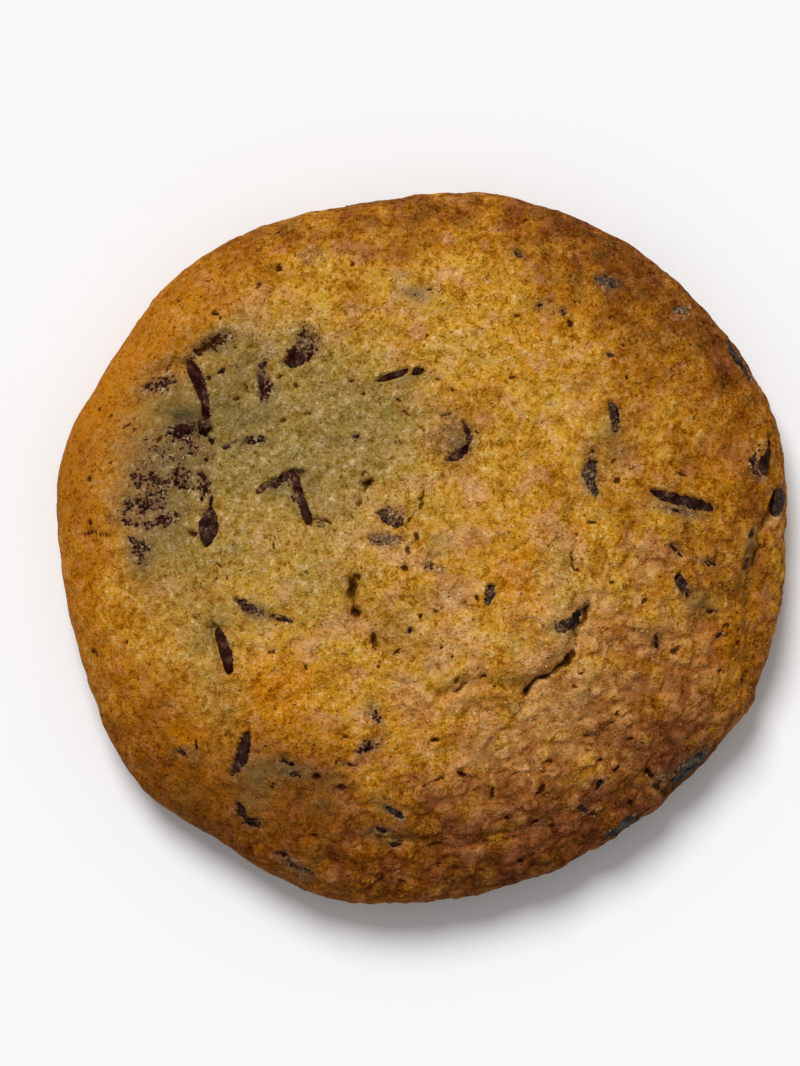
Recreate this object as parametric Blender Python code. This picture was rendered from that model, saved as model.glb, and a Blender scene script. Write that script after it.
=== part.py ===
"""Chocolate chip cookie, baked soft and thick, 88 mm across.

The cookie lies on its flat base on the table, +Z up, with its origin in the middle of the
base. One solid of dough holds pieces of broken dark chocolate, and each lies in a pocket of
its own. Sizes are in millimetres and turns in degrees, until a mesh is made.
"""

import math
from dataclasses import dataclass

import bmesh
import bpy
import numpy as np
from mathutils import Matrix, Vector, noise
from mathutils.bvhtree import BVHTree

MM = 0.001

# The dough's section, from the crown over the rim to the base
RIM_RADIUS = 42.95
RIM_HEIGHT = 5.4
CROWN_HEIGHT = 15.6
SHOULDER = 3.0
BASE_SHARE = 0.90
DOUGH_SUBDIVISIONS = 5
BASE_MESH_WEIGHT = 0.22

# Where the rim bulges or draws in: bearing from +X, how far, and how wide
RIM_LOBES = (
    (22, 2.1, 20),
    (58, 1.0, 18),
    (103, -1.3, 15),
    (130, 0.7, 15),
    (166, 1.1, 14),
    (196, -0.4, 14),
    (219, 1.2, 10),
    (256, 0.4, 12),
    (297, -1.2, 24),
    (330, 0.7, 10),
    (357, 0.4, 9),
)

# Swells and hollows of the top: name, middle x and y, half-lengths, turn, rise
SWELLS = (
    ("sunken basin", -15.5, 10.5, 17.0, 12.5, -20, -2.3),
    ("basin's east arm", 1.0, 17.0, 10.0, 7.0, -15, -1.0),
    ("puffed west rim", -37.0, 3.0, 7.0, 20.0, 8, 1.0),
    ("puffed north-west rim", -24.0, 31.0, 12.0, 6.0, 35, 0.8),
    ("south-west shoulder", -24.0, -21.0, 13.0, 8.0, -40, 0.6),
    ("middle ridge", -6.5, -2.5, 9.0, 4.0, 40, 0.5),
    ("lump over a hidden chunk", 3.6, 14.4, 3.2, 3.2, 0, 1.1),
    ("east shoulder", 31.0, -2.0, 9.0, 13.0, 0, 0.5),
    ("north shoulder", 9.0, 30.0, 16.0, 7.0, -10, 0.5),
)

# The raised middle: a low cap whose south-east edge has cracked away from the rest
CAP_MIDDLE = (5.8, -5.1)
CAP_RADIUS = 13.4
CAP_RISE = 1.3
CAP_EDGE = 1.8

# Cracks and folds: name, depth, half-width, and the points that they run through
CREASES = (
    ("cap crack", 0.9, 0.9, ((19.3, -6.8), (17.5, -12.3), (13.0, -16.5), (5.5, -15.9), (2.2, -17.6))),
    ("west crack of the cap", 0.7, 0.9, ((-8.0, -3.0), (-8.4, -7.2), (-5.6, -9.8), (-5.2, -12.6))),
    ("pits up the middle", 0.5, 0.8, ((0.5, 6.4), (-1.4, 3.6), (-0.7, 1.4), (-1.8, -2.4))),
    ("basin's edge", 0.6, 1.2, ((-5.0, 9.0), (-7.6, 5.2), (-10.6, 1.8))),
    ("east crack", 0.6, 0.9, ((18.0, 5.0), (18.4, -0.6), (18.0, -2.6))),
    ("south fold", 1.5, 1.3, ((-6.0, -34.6), (1.3, -35.6), (8.7, -35.0), (13.6, -33.6), (17.0, -31.6))),
    ("east lip", 1.8, 1.3, ((41.4, 3.6), (40.0, -1.0), (39.2, -6.2), (39.4, -12.6), (39.0, -16.4))),
)

CHUNK_SUBDIVISIONS = 2
CHUNK_SQUARENESS = 0.72
POCKET_GAP = 0.36
POCKET_RISE = 3.0


@dataclass(frozen=True)
class Chunk:
    """A piece of broken chocolate: its place on the top, its size, and how it sits."""

    name: str
    x: float
    y: float
    length: float
    width: float
    turn: float
    depth: float = 2.6
    proud: float = 0.35
    bend: float = 0.0
    taper: float = 0.0
    arm: tuple = ()


CHUNKS = (
    Chunk("chunk_ridge", -26.7, 18.2, 9.0, 1.9, -74, proud=0.7, bend=0.9, taper=-0.25),
    Chunk("chunk_maroon", -14.6, 23.4, 4.4, 3.7, 62, depth=3.2),
    Chunk("chunk_upright", -19.3, 20.4, 4.5, 1.9, 88),
    Chunk("chunk_black_slit", -2.5, 20.6, 6.0, 1.3, 18, proud=0.1),
    Chunk("chunk_under_lump", 4.9, 12.6, 5.6, 2.9, 60, depth=3.4, proud=0.7, bend=-0.9),
    Chunk("chunk_big", 31.2, 5.5, 8.6, 2.9, -15, depth=3.0, proud=0.3),
    Chunk("chunk_middle_east", 20.0, 7.8, 4.9, 2.3, 84),
    Chunk("chunk_thin_upright", 22.9, 15.6, 3.8, 1.5, 96, proud=0.2),
    Chunk("chunk_north", 22.0, 31.5, 2.9, 2.0, -20, depth=2.0),
    Chunk("chunk_north_east", 31.1, 28.0, 3.4, 2.4, 30, depth=2.0),
    Chunk("chunk_teardrop", -25.5, 2.5, 4.9, 2.5, 80, proud=0.6, taper=-0.35),
    Chunk("chunk_forked", -14.9, 6.1, 7.0, 2.8, -65, proud=0.6, taper=-0.2, arm=(-3.1, 1.1, 3.8, 1.5, 20)),
    Chunk("chunk_west_shard", -19.1, -7.4, 6.2, 1.5, -20, proud=0.1, taper=0.2),
    Chunk("chunk_west_bar", -23.5, -12.3, 6.0, 1.9, -74, proud=0.2, bend=0.3),
    Chunk("chunk_south_bar", -21.2, -24.7, 6.0, 1.9, 75, proud=0.2, bend=-0.2),
    Chunk("chunk_south_bit", -21.0, -32.0, 3.4, 1.6, -50, depth=2.0, proud=0.1),
    Chunk("chunk_south_sliver", -3.1, -31.7, 3.2, 1.3, -43, depth=2.0, proud=0.1),
    Chunk("chunk_middle_upper", -3.6, 3.9, 3.3, 2.9, 30),
    Chunk("chunk_middle_lower", -4.7, 0.9, 4.6, 1.9, -4),
    Chunk("chunk_cap_dot", 8.1, -5.6, 2.6, 1.5, 85, depth=2.0, proud=0.1),
    Chunk("chunk_in_crack", 17.6, -9.0, 4.3, 3.2, 50, depth=3.0),
    Chunk("chunk_east", 31.1, -4.5, 2.8, 1.8, 75, depth=2.0, proud=0.1),
    Chunk("chunk_rim_south_east", 32.8, -25.9, 7.6, 2.4, 42, depth=3.0),
    Chunk("chunk_rim_line", 23.9, -33.7, 4.8, 1.5, 33, depth=2.2, proud=0.1),
    Chunk("chunk_rim_black", 40.7, 11.0, 6.0, 3.0, 75, depth=3.0),
    Chunk("chunk_rim_purple", 42.7, 5.2, 4.4, 2.2, 85, depth=2.4, proud=0.25),
    Chunk("chunk_rim_thin", 38.4, 22.0, 8.0, 1.5, -60, depth=2.2, proud=0.15),
)


def rim_radius(bearing):
    """Radius of the dough at its widest, for bearings in radians."""
    radius = np.full_like(bearing, RIM_RADIUS)
    for middle, bulge, spread in RIM_LOBES:
        away = np.remainder(bearing - math.radians(middle) + math.pi, 2 * math.pi) - math.pi
        radius += bulge * np.exp(-((away / math.radians(spread)) ** 2))
    return radius


def meridian():
    """Stations down the section: share of the mesh above each, share of the radius, height."""
    steps = np.linspace(0, math.pi / 2, 200)
    crown_share = np.sin(steps) ** (2 / SHOULDER)
    crown_height = RIM_HEIGHT + (CROWN_HEIGHT - RIM_HEIGHT) * np.cos(steps)
    heel_share = BASE_SHARE + (1 - BASE_SHARE) * np.cos(steps)
    heel_height = RIM_HEIGHT * (1 - np.sin(steps))
    base_share = np.linspace(BASE_SHARE, 0, 60)
    share = np.concatenate([crown_share, heel_share[1:], base_share[1:]])
    height = np.concatenate([crown_height, heel_height[1:], np.zeros(59)])
    length = np.hypot(np.diff(share) * RIM_RADIUS, np.diff(height))
    weight = np.where(height[1:] > 0, 1.0, BASE_MESH_WEIGHT)
    area = length * (share[1:] + share[:-1]) / 2 * weight
    above = np.concatenate([[0], np.cumsum(area)]) / area.sum()
    return above, share, height


def distance_to_line(x, y, points):
    """Distance from each place to the line through the points."""
    nearest = np.full_like(x, 1e9)
    for (ax, ay), (bx, by) in zip(points, points[1:]):
        run_x, run_y = bx - ax, by - ay
        along = ((x - ax) * run_x + (y - ay) * run_y) / (run_x**2 + run_y**2)
        along = np.clip(along, 0, 1)
        nearest = np.minimum(nearest, np.hypot(x - ax - along * run_x, y - ay - along * run_y))
    return nearest


def lumps(x, y, z, size, seed):
    """Smooth noise of about -1 to 1, with lumps of the given size."""
    offset = Vector((seed * 7.3, seed * 3.1, seed * 5.7))
    return np.array([noise.noise(Vector(place) / size + offset) for place in zip(x, y, z)])


def swelling(x, y):
    """Rise of the broad swells and hollows."""
    rise = np.zeros_like(x)
    for _name, middle_x, middle_y, half_x, half_y, turn, height in SWELLS:
        turned = math.radians(turn)
        east = (x - middle_x) * math.cos(turned) + (y - middle_y) * math.sin(turned)
        north = (y - middle_y) * math.cos(turned) - (x - middle_x) * math.sin(turned)
        rise += height * np.exp(-((east / half_x) ** 2) - (north / half_y) ** 2)
    return rise


def cap_rise(x, y):
    """The raised middle, steep to the south-east and running out level to the north-west."""
    east, north = x - CAP_MIDDLE[0], y - CAP_MIDDLE[1]
    distance = np.hypot(east, north) + 0.8 * lumps(x, y, np.zeros_like(x), 9.0, 2)
    facing = (east - north) / np.maximum(np.hypot(east, north), 1e-6) / math.sqrt(2)
    edge = CAP_EDGE * (2.2 - 1.2 * facing)
    return CAP_RISE / (1 + np.exp((distance - CAP_RADIUS) / edge * 2))


def crease_depth(x, y):
    """Depth of the cracks and folds."""
    depth = np.zeros_like(x)
    for _name, deepest, half_width, points in CREASES:
        away = distance_to_line(x, y, points) / half_width
        depth = np.maximum(depth, deepest * np.exp(-(away**2)))
    return depth


def relief(x, y, z):
    """How far the surface stands out from the plain section at each place on it."""
    craggy = np.clip((x - y - 8) / 40, 0, 1)
    uneven = 0.5 * lumps(x, y, z, 13.0, 1) + (0.3 + 0.4 * craggy) * lumps(x, y, z, 6.0, 3)
    return swelling(x, y) + cap_rise(x, y) + uneven - crease_depth(x, y)


def dough_points(above, bearing):
    """Points of the dough's skin, from the share of the mesh above each and its bearing."""
    stations, shares, heights = meridian()
    share = np.interp(above, stations, shares)
    height = np.interp(above, stations, heights)
    step = 1e-3
    fall = np.interp(above + step, stations, heights) - np.interp(above - step, stations, heights)
    reach = np.interp(above + step, stations, shares) - np.interp(above - step, stations, shares)
    outward, upward = -fall, reach * RIM_RADIUS
    length = np.maximum(np.hypot(outward, upward), 1e-9)
    outward, upward = outward / length, upward / length
    radius = rim_radius(bearing)
    x, y = share * radius * np.cos(bearing), share * radius * np.sin(bearing)
    lift = np.clip(height / RIM_HEIGHT, 0, 1) ** 1.5
    out = relief(x, y, height) * lift
    x = x + out * outward * np.cos(bearing)
    y = y + out * outward * np.sin(bearing)
    return np.stack([x, y, height + out * upward], axis=1)


def make_material(name, colour, roughness):
    """A plain finish in one colour."""
    material = bpy.data.materials.new(name)
    material.use_nodes = True
    shader = material.node_tree.nodes["Principled BSDF"]
    shader.inputs["Base Color"].default_value = (*colour, 1)
    shader.inputs["Roughness"].default_value = roughness
    shader.inputs["Metallic"].default_value = 0
    material.diffuse_color = (*colour, 1)
    return material


def add_object(name, mesh_data, material):
    """An object in the scene from a bmesh, which it frees."""
    mesh = bpy.data.meshes.new(name)
    mesh_data.to_mesh(mesh)
    mesh_data.free()
    item = bpy.data.objects.new(name, mesh)
    bpy.context.scene.collection.objects.link(item)
    if material:
        mesh.materials.append(material)
    return item


def make_dough(material):
    """The cookie's body: a ball of triangles drawn out over the section."""
    ball = bmesh.new()
    bmesh.ops.create_icosphere(ball, subdivisions=DOUGH_SUBDIVISIONS, radius=1)
    ways = np.array([vertex.co.normalized() for vertex in ball.verts])
    above = (1 - ways[:, 2]) / 2
    bearing = np.arctan2(ways[:, 1], ways[:, 0])
    for vertex, point in zip(ball.verts, dough_points(above, bearing)):
        vertex.co = Vector(point) * MM
    item = add_object("dough", ball, material)
    item.data.shade_smooth()
    return item


def shard_points(ways, length, width, depth, bend, taper, seed):
    """A rounded bar of broken chocolate, along X, from the directions of a ball's points."""
    points = np.sign(ways) * np.abs(ways) ** CHUNK_SQUARENESS
    along = points[:, 0].copy()
    points[:, 1] *= 1 + taper * along
    points *= np.array([length, width, depth]) / 2
    points[:, 1] += bend * (1 - along**2)
    rough = 0.09 * width
    for axis in range(3):
        points[:, axis] += rough * lumps(*(ways.T * 2 + axis * 9), 1.0, seed)
    return points


def shard(size, seed):
    """A bmesh of one bar of chocolate."""
    length, width, depth, bend, taper = size
    ball = bmesh.new()
    bmesh.ops.create_icosphere(ball, subdivisions=CHUNK_SUBDIVISIONS, radius=1)
    ways = np.array([vertex.co.normalized() for vertex in ball.verts])
    points = shard_points(ways, length, width, depth, bend, taper, seed)
    for vertex, point in zip(ball.verts, points):
        vertex.co = Vector(point)
    ball.normal_update()
    return ball


def pocket(size, seed):
    """A bmesh of the room that one bar needs: the bar grown by the gap, and all that is above it."""
    bar = shard(size, seed)
    grown = [vertex.co + vertex.normal * POCKET_GAP for vertex in bar.verts]
    bar.free()
    room = bmesh.new()
    for point in grown:
        room.verts.new(point)
        room.verts.new(point + Vector((0, 0, POCKET_RISE)))
    hull = bmesh.ops.convex_hull(room, input=room.verts)
    inside = [item for item in hull["geom_interior"] if isinstance(item, bmesh.types.BMVert)]
    bmesh.ops.delete(room, geom=inside, context="VERTS")
    return room


def join_arm(main, arm_mesh, at, turn):
    """Sets an arm beside the main bar, in the bar's own frame."""
    place = Matrix.Translation(Vector(at)) @ Matrix.Rotation(math.radians(turn), 4, "Z")
    arm_mesh.transform(place)
    arm = add_object(main.name + "_arm", arm_mesh, None)
    hide(arm)
    union = main.modifiers.new("join arm", "BOOLEAN")
    union.operation = "UNION"
    union.object = arm
    return arm


def hide(item):
    """Marks a helper that isn't part of the cookie."""
    item.hide_render = True
    item.display_type = "WIRE"


def surface_frame(skin, chunk):
    """Where the chunk lies on the dough, and which way up, with its length along its turn."""
    above = Vector((chunk.x, chunk.y, 3 * CROWN_HEIGHT)) * MM
    spot, normal, _index, _distance = skin.ray_cast(above, Vector((0, 0, -1)))
    turn = math.radians(chunk.turn)
    along = Vector((math.cos(turn), math.sin(turn), 0))
    along = (along - normal * along.dot(normal)).normalized()
    across = normal.cross(along)
    frame = Matrix((along, across, normal)).transposed().to_4x4()
    middle = spot + normal * (chunk.proud - chunk.depth / 2) * MM
    return Matrix.Translation(middle) @ frame @ Matrix.Scale(MM, 4)


def bar_object(chunk, seed, suffix, material, shape):
    """One chunk or its pocket, in the chunk's own frame: the object, then its arm if it has one."""
    size = (chunk.length, chunk.width, chunk.depth, chunk.bend, chunk.taper)
    item = add_object(chunk.name + suffix, shape(size, seed), material)
    if not chunk.arm:
        return [item]
    x, y, length, width, turn = chunk.arm
    arm_mesh = shape((length, width, chunk.depth * 0.9, 0, 0), seed + 50)
    place = Vector((x, y, 0))
    place.rotate(Matrix.Rotation(-math.radians(chunk.turn), 3, "Z"))
    return [item, join_arm(item, arm_mesh, place, turn - chunk.turn)]


def set_chunk(dough, skin, chunk, seed, material):
    """Lays one chunk in the dough and cuts the pocket that it sits in."""
    frame = surface_frame(skin, chunk)
    bars = bar_object(chunk, seed, "", material, shard)
    cutters = bar_object(chunk, seed, "_pocket", None, pocket)
    for item in bars + cutters:
        item.data.transform(frame)
    hide(cutters[0])
    cut = dough.modifiers.new(chunk.name, "BOOLEAN")
    cut.operation = "DIFFERENCE"
    cut.object = cutters[0]


def skin_of(item):
    """A tree of the item's surface, for finding places on it."""
    surface = bmesh.new()
    surface.from_mesh(item.data)
    tree = BVHTree.FromBMesh(surface)
    surface.free()
    return tree


def main():
    for item in list(bpy.data.objects):
        bpy.data.objects.remove(item)
    baked = make_material("baked dough", (0.45, 0.22, 0.06), 0.7)
    chocolate = make_material("dark chocolate", (0.05, 0.02, 0.015), 0.4)
    dough = make_dough(baked)
    skin = skin_of(dough)
    for number, chunk in enumerate(CHUNKS):
        set_chunk(dough, skin, chunk, number + 1, chocolate)


main()
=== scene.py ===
"""Looks of the chocolate chip cookie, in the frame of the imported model.

The dough is one dense mesh with the model's own form and the relief that the solid leaves
out: crumb, flakes, cracks, pores and sockets. The chocolate pieces grow from the model's
chunk nodes, and joined meshes hold the smaller bits of chocolate and the loose crumbs.
Sizes are in millimetres and turns in degrees, until a mesh is made.
"""

import math
import random

import bmesh
import bpy
import numpy as np
from mathutils import Euler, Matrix, Vector, kdtree, noise
from mathutils.bvhtree import BVHTree


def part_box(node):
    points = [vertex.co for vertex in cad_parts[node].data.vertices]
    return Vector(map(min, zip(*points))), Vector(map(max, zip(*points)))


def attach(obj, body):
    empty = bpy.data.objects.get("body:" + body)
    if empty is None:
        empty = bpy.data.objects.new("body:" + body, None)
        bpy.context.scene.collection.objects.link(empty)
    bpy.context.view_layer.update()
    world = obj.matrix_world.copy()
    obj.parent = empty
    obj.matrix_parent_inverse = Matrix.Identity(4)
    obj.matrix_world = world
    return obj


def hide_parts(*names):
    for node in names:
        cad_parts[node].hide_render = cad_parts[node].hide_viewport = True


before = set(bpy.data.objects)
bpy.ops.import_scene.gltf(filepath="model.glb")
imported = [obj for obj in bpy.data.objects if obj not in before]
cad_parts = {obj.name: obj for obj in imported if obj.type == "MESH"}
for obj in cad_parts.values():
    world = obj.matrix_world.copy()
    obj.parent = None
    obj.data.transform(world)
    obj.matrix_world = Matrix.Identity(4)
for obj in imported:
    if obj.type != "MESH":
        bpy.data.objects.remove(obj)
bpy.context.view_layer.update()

MM = 0.001
SEED = 11

# ---------------------------------------------------------------- the dough's main form

RIM_RADIUS = 42.95
RIM_HEIGHT = 5.4
CROWN_HEIGHT = 15.6
SHOULDER = 3.0
BASE_SHARE = 0.90
BALL_SUBDIVISIONS = 6
BALL_CUTS = 2
HEEL_MESH_WEIGHT = 0.55
BASE_MESH_WEIGHT = 0.08

# Where the rim bulges or draws in: bearing from +X, how far, and how wide
RIM_LOBES = (
    (22, 2.1, 20),
    (58, 1.0, 18),
    (103, -1.3, 15),
    (130, 0.7, 15),
    (166, 1.1, 14),
    (196, -0.4, 14),
    (219, 1.2, 10),
    (256, 0.4, 12),
    (297, -1.2, 24),
    (330, 0.7, 10),
    (357, 0.4, 9),
)

# Swells and hollows of the top: name, middle x and y, half-lengths, turn, rise
SWELLS = (
    ("sunken basin", -15.5, 10.5, 17.0, 12.5, -20, -2.3),
    ("basin's east arm", 1.0, 17.0, 10.0, 7.0, -15, -1.0),
    ("puffed west rim", -37.0, 3.0, 7.0, 20.0, 8, 1.0),
    ("puffed north-west rim", -24.0, 31.0, 12.0, 6.0, 35, 0.8),
    ("south-west shoulder", -24.0, -21.0, 13.0, 8.0, -40, 0.6),
    ("middle ridge", -6.5, -2.5, 9.0, 4.0, 40, 0.5),
    ("lump over a hidden chunk", 3.6, 14.4, 3.2, 3.2, 0, 1.1),
    ("east shoulder", 31.0, -2.0, 9.0, 13.0, 0, 0.5),
    ("north shoulder", 9.0, 30.0, 16.0, 7.0, -10, 0.5),
)

# Smaller lumps, too fine for the solid
LUMPS = (
    ("west bank of the ridge piece", -29.4, 17.4, 2.2, 2.4, 0, 0.7),
    ("east bank of the ridge piece", -23.6, 18.6, 2.0, 3.8, 10, 0.5),
    ("rim's brow over the ridge piece", -30.6, 24.0, 4.4, 1.6, 38, 0.5),
    ("knob in the west cluster", -32.6, 5.4, 1.4, 1.4, 0, 0.4),
    ("lip south of the cap's crack", 17.0, -16.8, 3.2, 1.4, 40, 0.5),
    ("lip of the middle pit", -9.8, -5.0, 1.2, 2.4, 0, 0.3),
    ("flake in the east", 21.6, -8.4, 2.6, 1.6, -20, 0.4),
    ("flake on the south slope", 21.2, -21.0, 2.6, 0.9, 20, 0.5),
)

# The raised middle: a low cap whose south-east edge has cracked away from the rest
CAP_MIDDLE = (5.8, -5.1)
CAP_RADIUS = 13.4
CAP_RISE = 1.3
CAP_EDGE = 1.8

# Folds that the solid has too, shallower here because the narrow cracks add to them:
# name, depth, half-width, and the points that they run through
CREASES = (
    ("cap crack", 0.75, 0.8, ((19.3, -6.8), (17.5, -12.3), (13.0, -16.5), (5.5, -15.9), (2.2, -17.6))),
    ("west crack of the cap", 0.7, 0.9, ((-8.0, -3.0), (-8.4, -7.2), (-5.6, -9.8), (-5.2, -12.6))),
    ("pits up the middle", 0.5, 0.8, ((0.5, 6.4), (-1.4, 3.6), (-0.7, 1.4), (-1.8, -2.4))),
    ("basin's edge", 0.6, 1.2, ((-5.0, 9.0), (-7.6, 5.2), (-10.6, 1.8))),
    ("east crack", 0.6, 0.9, ((18.0, 5.0), (18.4, -0.6), (18.0, -2.6))),
    ("south fold", 0.6, 1.0, ((-6.0, -34.6), (1.3, -35.6), (8.7, -35.0), (13.6, -33.6), (17.0, -31.6))),
    ("east lip", 1.0, 0.9, ((41.4, 3.6), (40.0, -1.0), (39.2, -6.2), (39.4, -12.6), (39.0, -16.4))),
    ("fold under the north-west rim", 0.7, 0.8, ((-32.6, 20.6), (-28.6, 22.4), (-25.6, 24.4), (-23.4, 25.2))),
)


def rim_radius(bearing):
    """Radius of the dough at its widest, for bearings in radians."""
    radius = np.full_like(bearing, RIM_RADIUS)
    for middle, bulge, spread in RIM_LOBES:
        away = np.remainder(bearing - math.radians(middle) + math.pi, 2 * math.pi) - math.pi
        radius += bulge * np.exp(-((away / math.radians(spread)) ** 2))
    return radius


def meridian():
    """Stations down the section: share of the mesh above each, share of the radius, height."""
    steps = np.linspace(0, math.pi / 2, 200)
    crown_share = np.sin(steps) ** (2 / SHOULDER)
    crown_height = RIM_HEIGHT + (CROWN_HEIGHT - RIM_HEIGHT) * np.cos(steps)
    heel_share = BASE_SHARE + (1 - BASE_SHARE) * np.cos(steps)
    heel_height = RIM_HEIGHT * (1 - np.sin(steps))
    base_share = np.linspace(BASE_SHARE, 0, 60)
    share = np.concatenate([crown_share, heel_share[1:], base_share[1:]])
    height = np.concatenate([crown_height, heel_height[1:], np.zeros(59)])
    length = np.hypot(np.diff(share) * RIM_RADIUS, np.diff(height))
    weight = np.where(height[1:] > 0, HEEL_MESH_WEIGHT, BASE_MESH_WEIGHT)
    weight = np.where(height[1:] > RIM_HEIGHT - 0.5, 1.0, weight)
    area = length * (share[1:] + share[:-1]) / 2 * weight
    above = np.concatenate([[0], np.cumsum(area)]) / area.sum()
    return above, share, height


def distance_to_line(x, y, points):
    """Distance from each place to the line through the points."""
    nearest = np.full_like(x, 1e9)
    for (ax, ay), (bx, by) in zip(points, points[1:]):
        run_x, run_y = bx - ax, by - ay
        along = ((x - ax) * run_x + (y - ay) * run_y) / (run_x**2 + run_y**2)
        along = np.clip(along, 0, 1)
        nearest = np.minimum(nearest, np.hypot(x - ax - along * run_x, y - ay - along * run_y))
    return nearest


def lumps(x, y, z, size, seed):
    """Smooth noise of about -1 to 1, with lumps of the given size."""
    offset = Vector((seed * 7.3, seed * 3.1, seed * 5.7))
    return np.array([noise.noise(Vector(place) / size + offset) for place in zip(x, y, z)])


def turned(x, y, turn):
    """Places measured along a direction and across it."""
    cosine, sine = math.cos(math.radians(turn)), math.sin(math.radians(turn))
    return x * cosine + y * sine, y * cosine - x * sine


def blob(x, y, middle_x, middle_y, half_x, half_y, turn):
    """A soft spot of height 1, with the given half-lengths."""
    along, across = turned(x - middle_x, y - middle_y, turn)
    return np.exp(-((along / half_x) ** 2) - (across / half_y) ** 2)


def swelling(x, y, swells):
    """Rise of the swells and hollows."""
    return sum(rise * blob(x, y, *place) for _name, *place, rise in swells)


def cap_rise(x, y):
    """The raised middle, steep to the south-east and running out level to the north-west."""
    east, north = x - CAP_MIDDLE[0], y - CAP_MIDDLE[1]
    distance = np.hypot(east, north) + 0.8 * lumps(x, y, np.zeros_like(x), 9.0, 2)
    facing = (east - north) / np.maximum(np.hypot(east, north), 1e-6) / math.sqrt(2)
    edge = CAP_EDGE * (2.2 - 1.2 * facing)
    return CAP_RISE / (1 + np.exp((distance - CAP_RADIUS) / edge * 2))


def crease_depth(x, y):
    """Depth of the cracks and folds."""
    depth = np.zeros_like(x)
    for _name, deepest, half_width, points in CREASES:
        away = distance_to_line(x, y, points) / half_width
        depth = np.maximum(depth, deepest * np.exp(-(away**2)))
    return depth


def relief(x, y, z):
    """How far the surface stands out from the plain section at each place on it."""
    craggy = np.clip((x - y - 8) / 40, 0, 1)
    uneven = 0.5 * lumps(x, y, z, 13.0, 1) + (0.3 + 0.4 * craggy) * lumps(x, y, z, 6.0, 3)
    return swelling(x, y, SWELLS) + cap_rise(x, y) + uneven - crease_depth(x, y)


def tree_of(places):
    """A tree for finding the places that are near a point."""
    tree = kdtree.KDTree(len(places))
    for index, place in enumerate(places):
        tree.insert(place, index)
    tree.balance()
    return tree


class Skin:
    """The dough's surface before its fine relief: points, ways out, and where each one is."""

    def __init__(self, above, bearing):
        stations, shares, heights = meridian()
        self.share = np.interp(above, stations, shares)
        self.height = np.interp(above, stations, heights)
        step = 1e-3
        fall = np.interp(above + step, stations, heights) - np.interp(above - step, stations, heights)
        reach = np.interp(above + step, stations, shares) - np.interp(above - step, stations, shares)
        outward, upward = -fall, reach * RIM_RADIUS
        length = np.maximum(np.hypot(outward, upward), 1e-9)
        outward, upward = outward / length, upward / length
        radius = rim_radius(bearing)
        cosine, sine = np.cos(bearing), np.sin(bearing)
        self.x, self.y = self.share * radius * cosine, self.share * radius * sine
        self.ways = np.stack([outward * cosine, outward * sine, upward], axis=1)
        self.lift = np.clip(self.height / RIM_HEIGHT, 0, 1) ** 1.5
        self.is_top = self.height > RIM_HEIGHT * 0.9
        self.is_base = above > stations[-60]
        self.plain = np.stack([self.x, self.y, self.height], axis=1)
        out = relief(self.x, self.y, self.height) * self.lift
        self.points = self.plain + self.ways * out[:, None]
        self.tree = tree_of(self.points)

    def raise_by(self, height):
        """Adds fine relief, so that what is set in the skin follows it."""
        self.points = self.points + self.ways * (height * self.lift)[:, None]
        self.tree = tree_of(self.points)

    def lumps(self, size, seed):
        """Noise over the skin."""
        return lumps(*self.plain.T, size, seed)

    def under(self, x, y):
        """The skin's point and its way out, straight below a place on the top."""
        high = Vector((x, y, CROWN_HEIGHT))
        for _step in range(3):
            place, index, _away = self.tree.find(high)
            high = Vector((x, y, place.z))
        return place, Vector(self.ways[index])


# ---------------------------------------------------------------- fine relief of the dough

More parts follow.
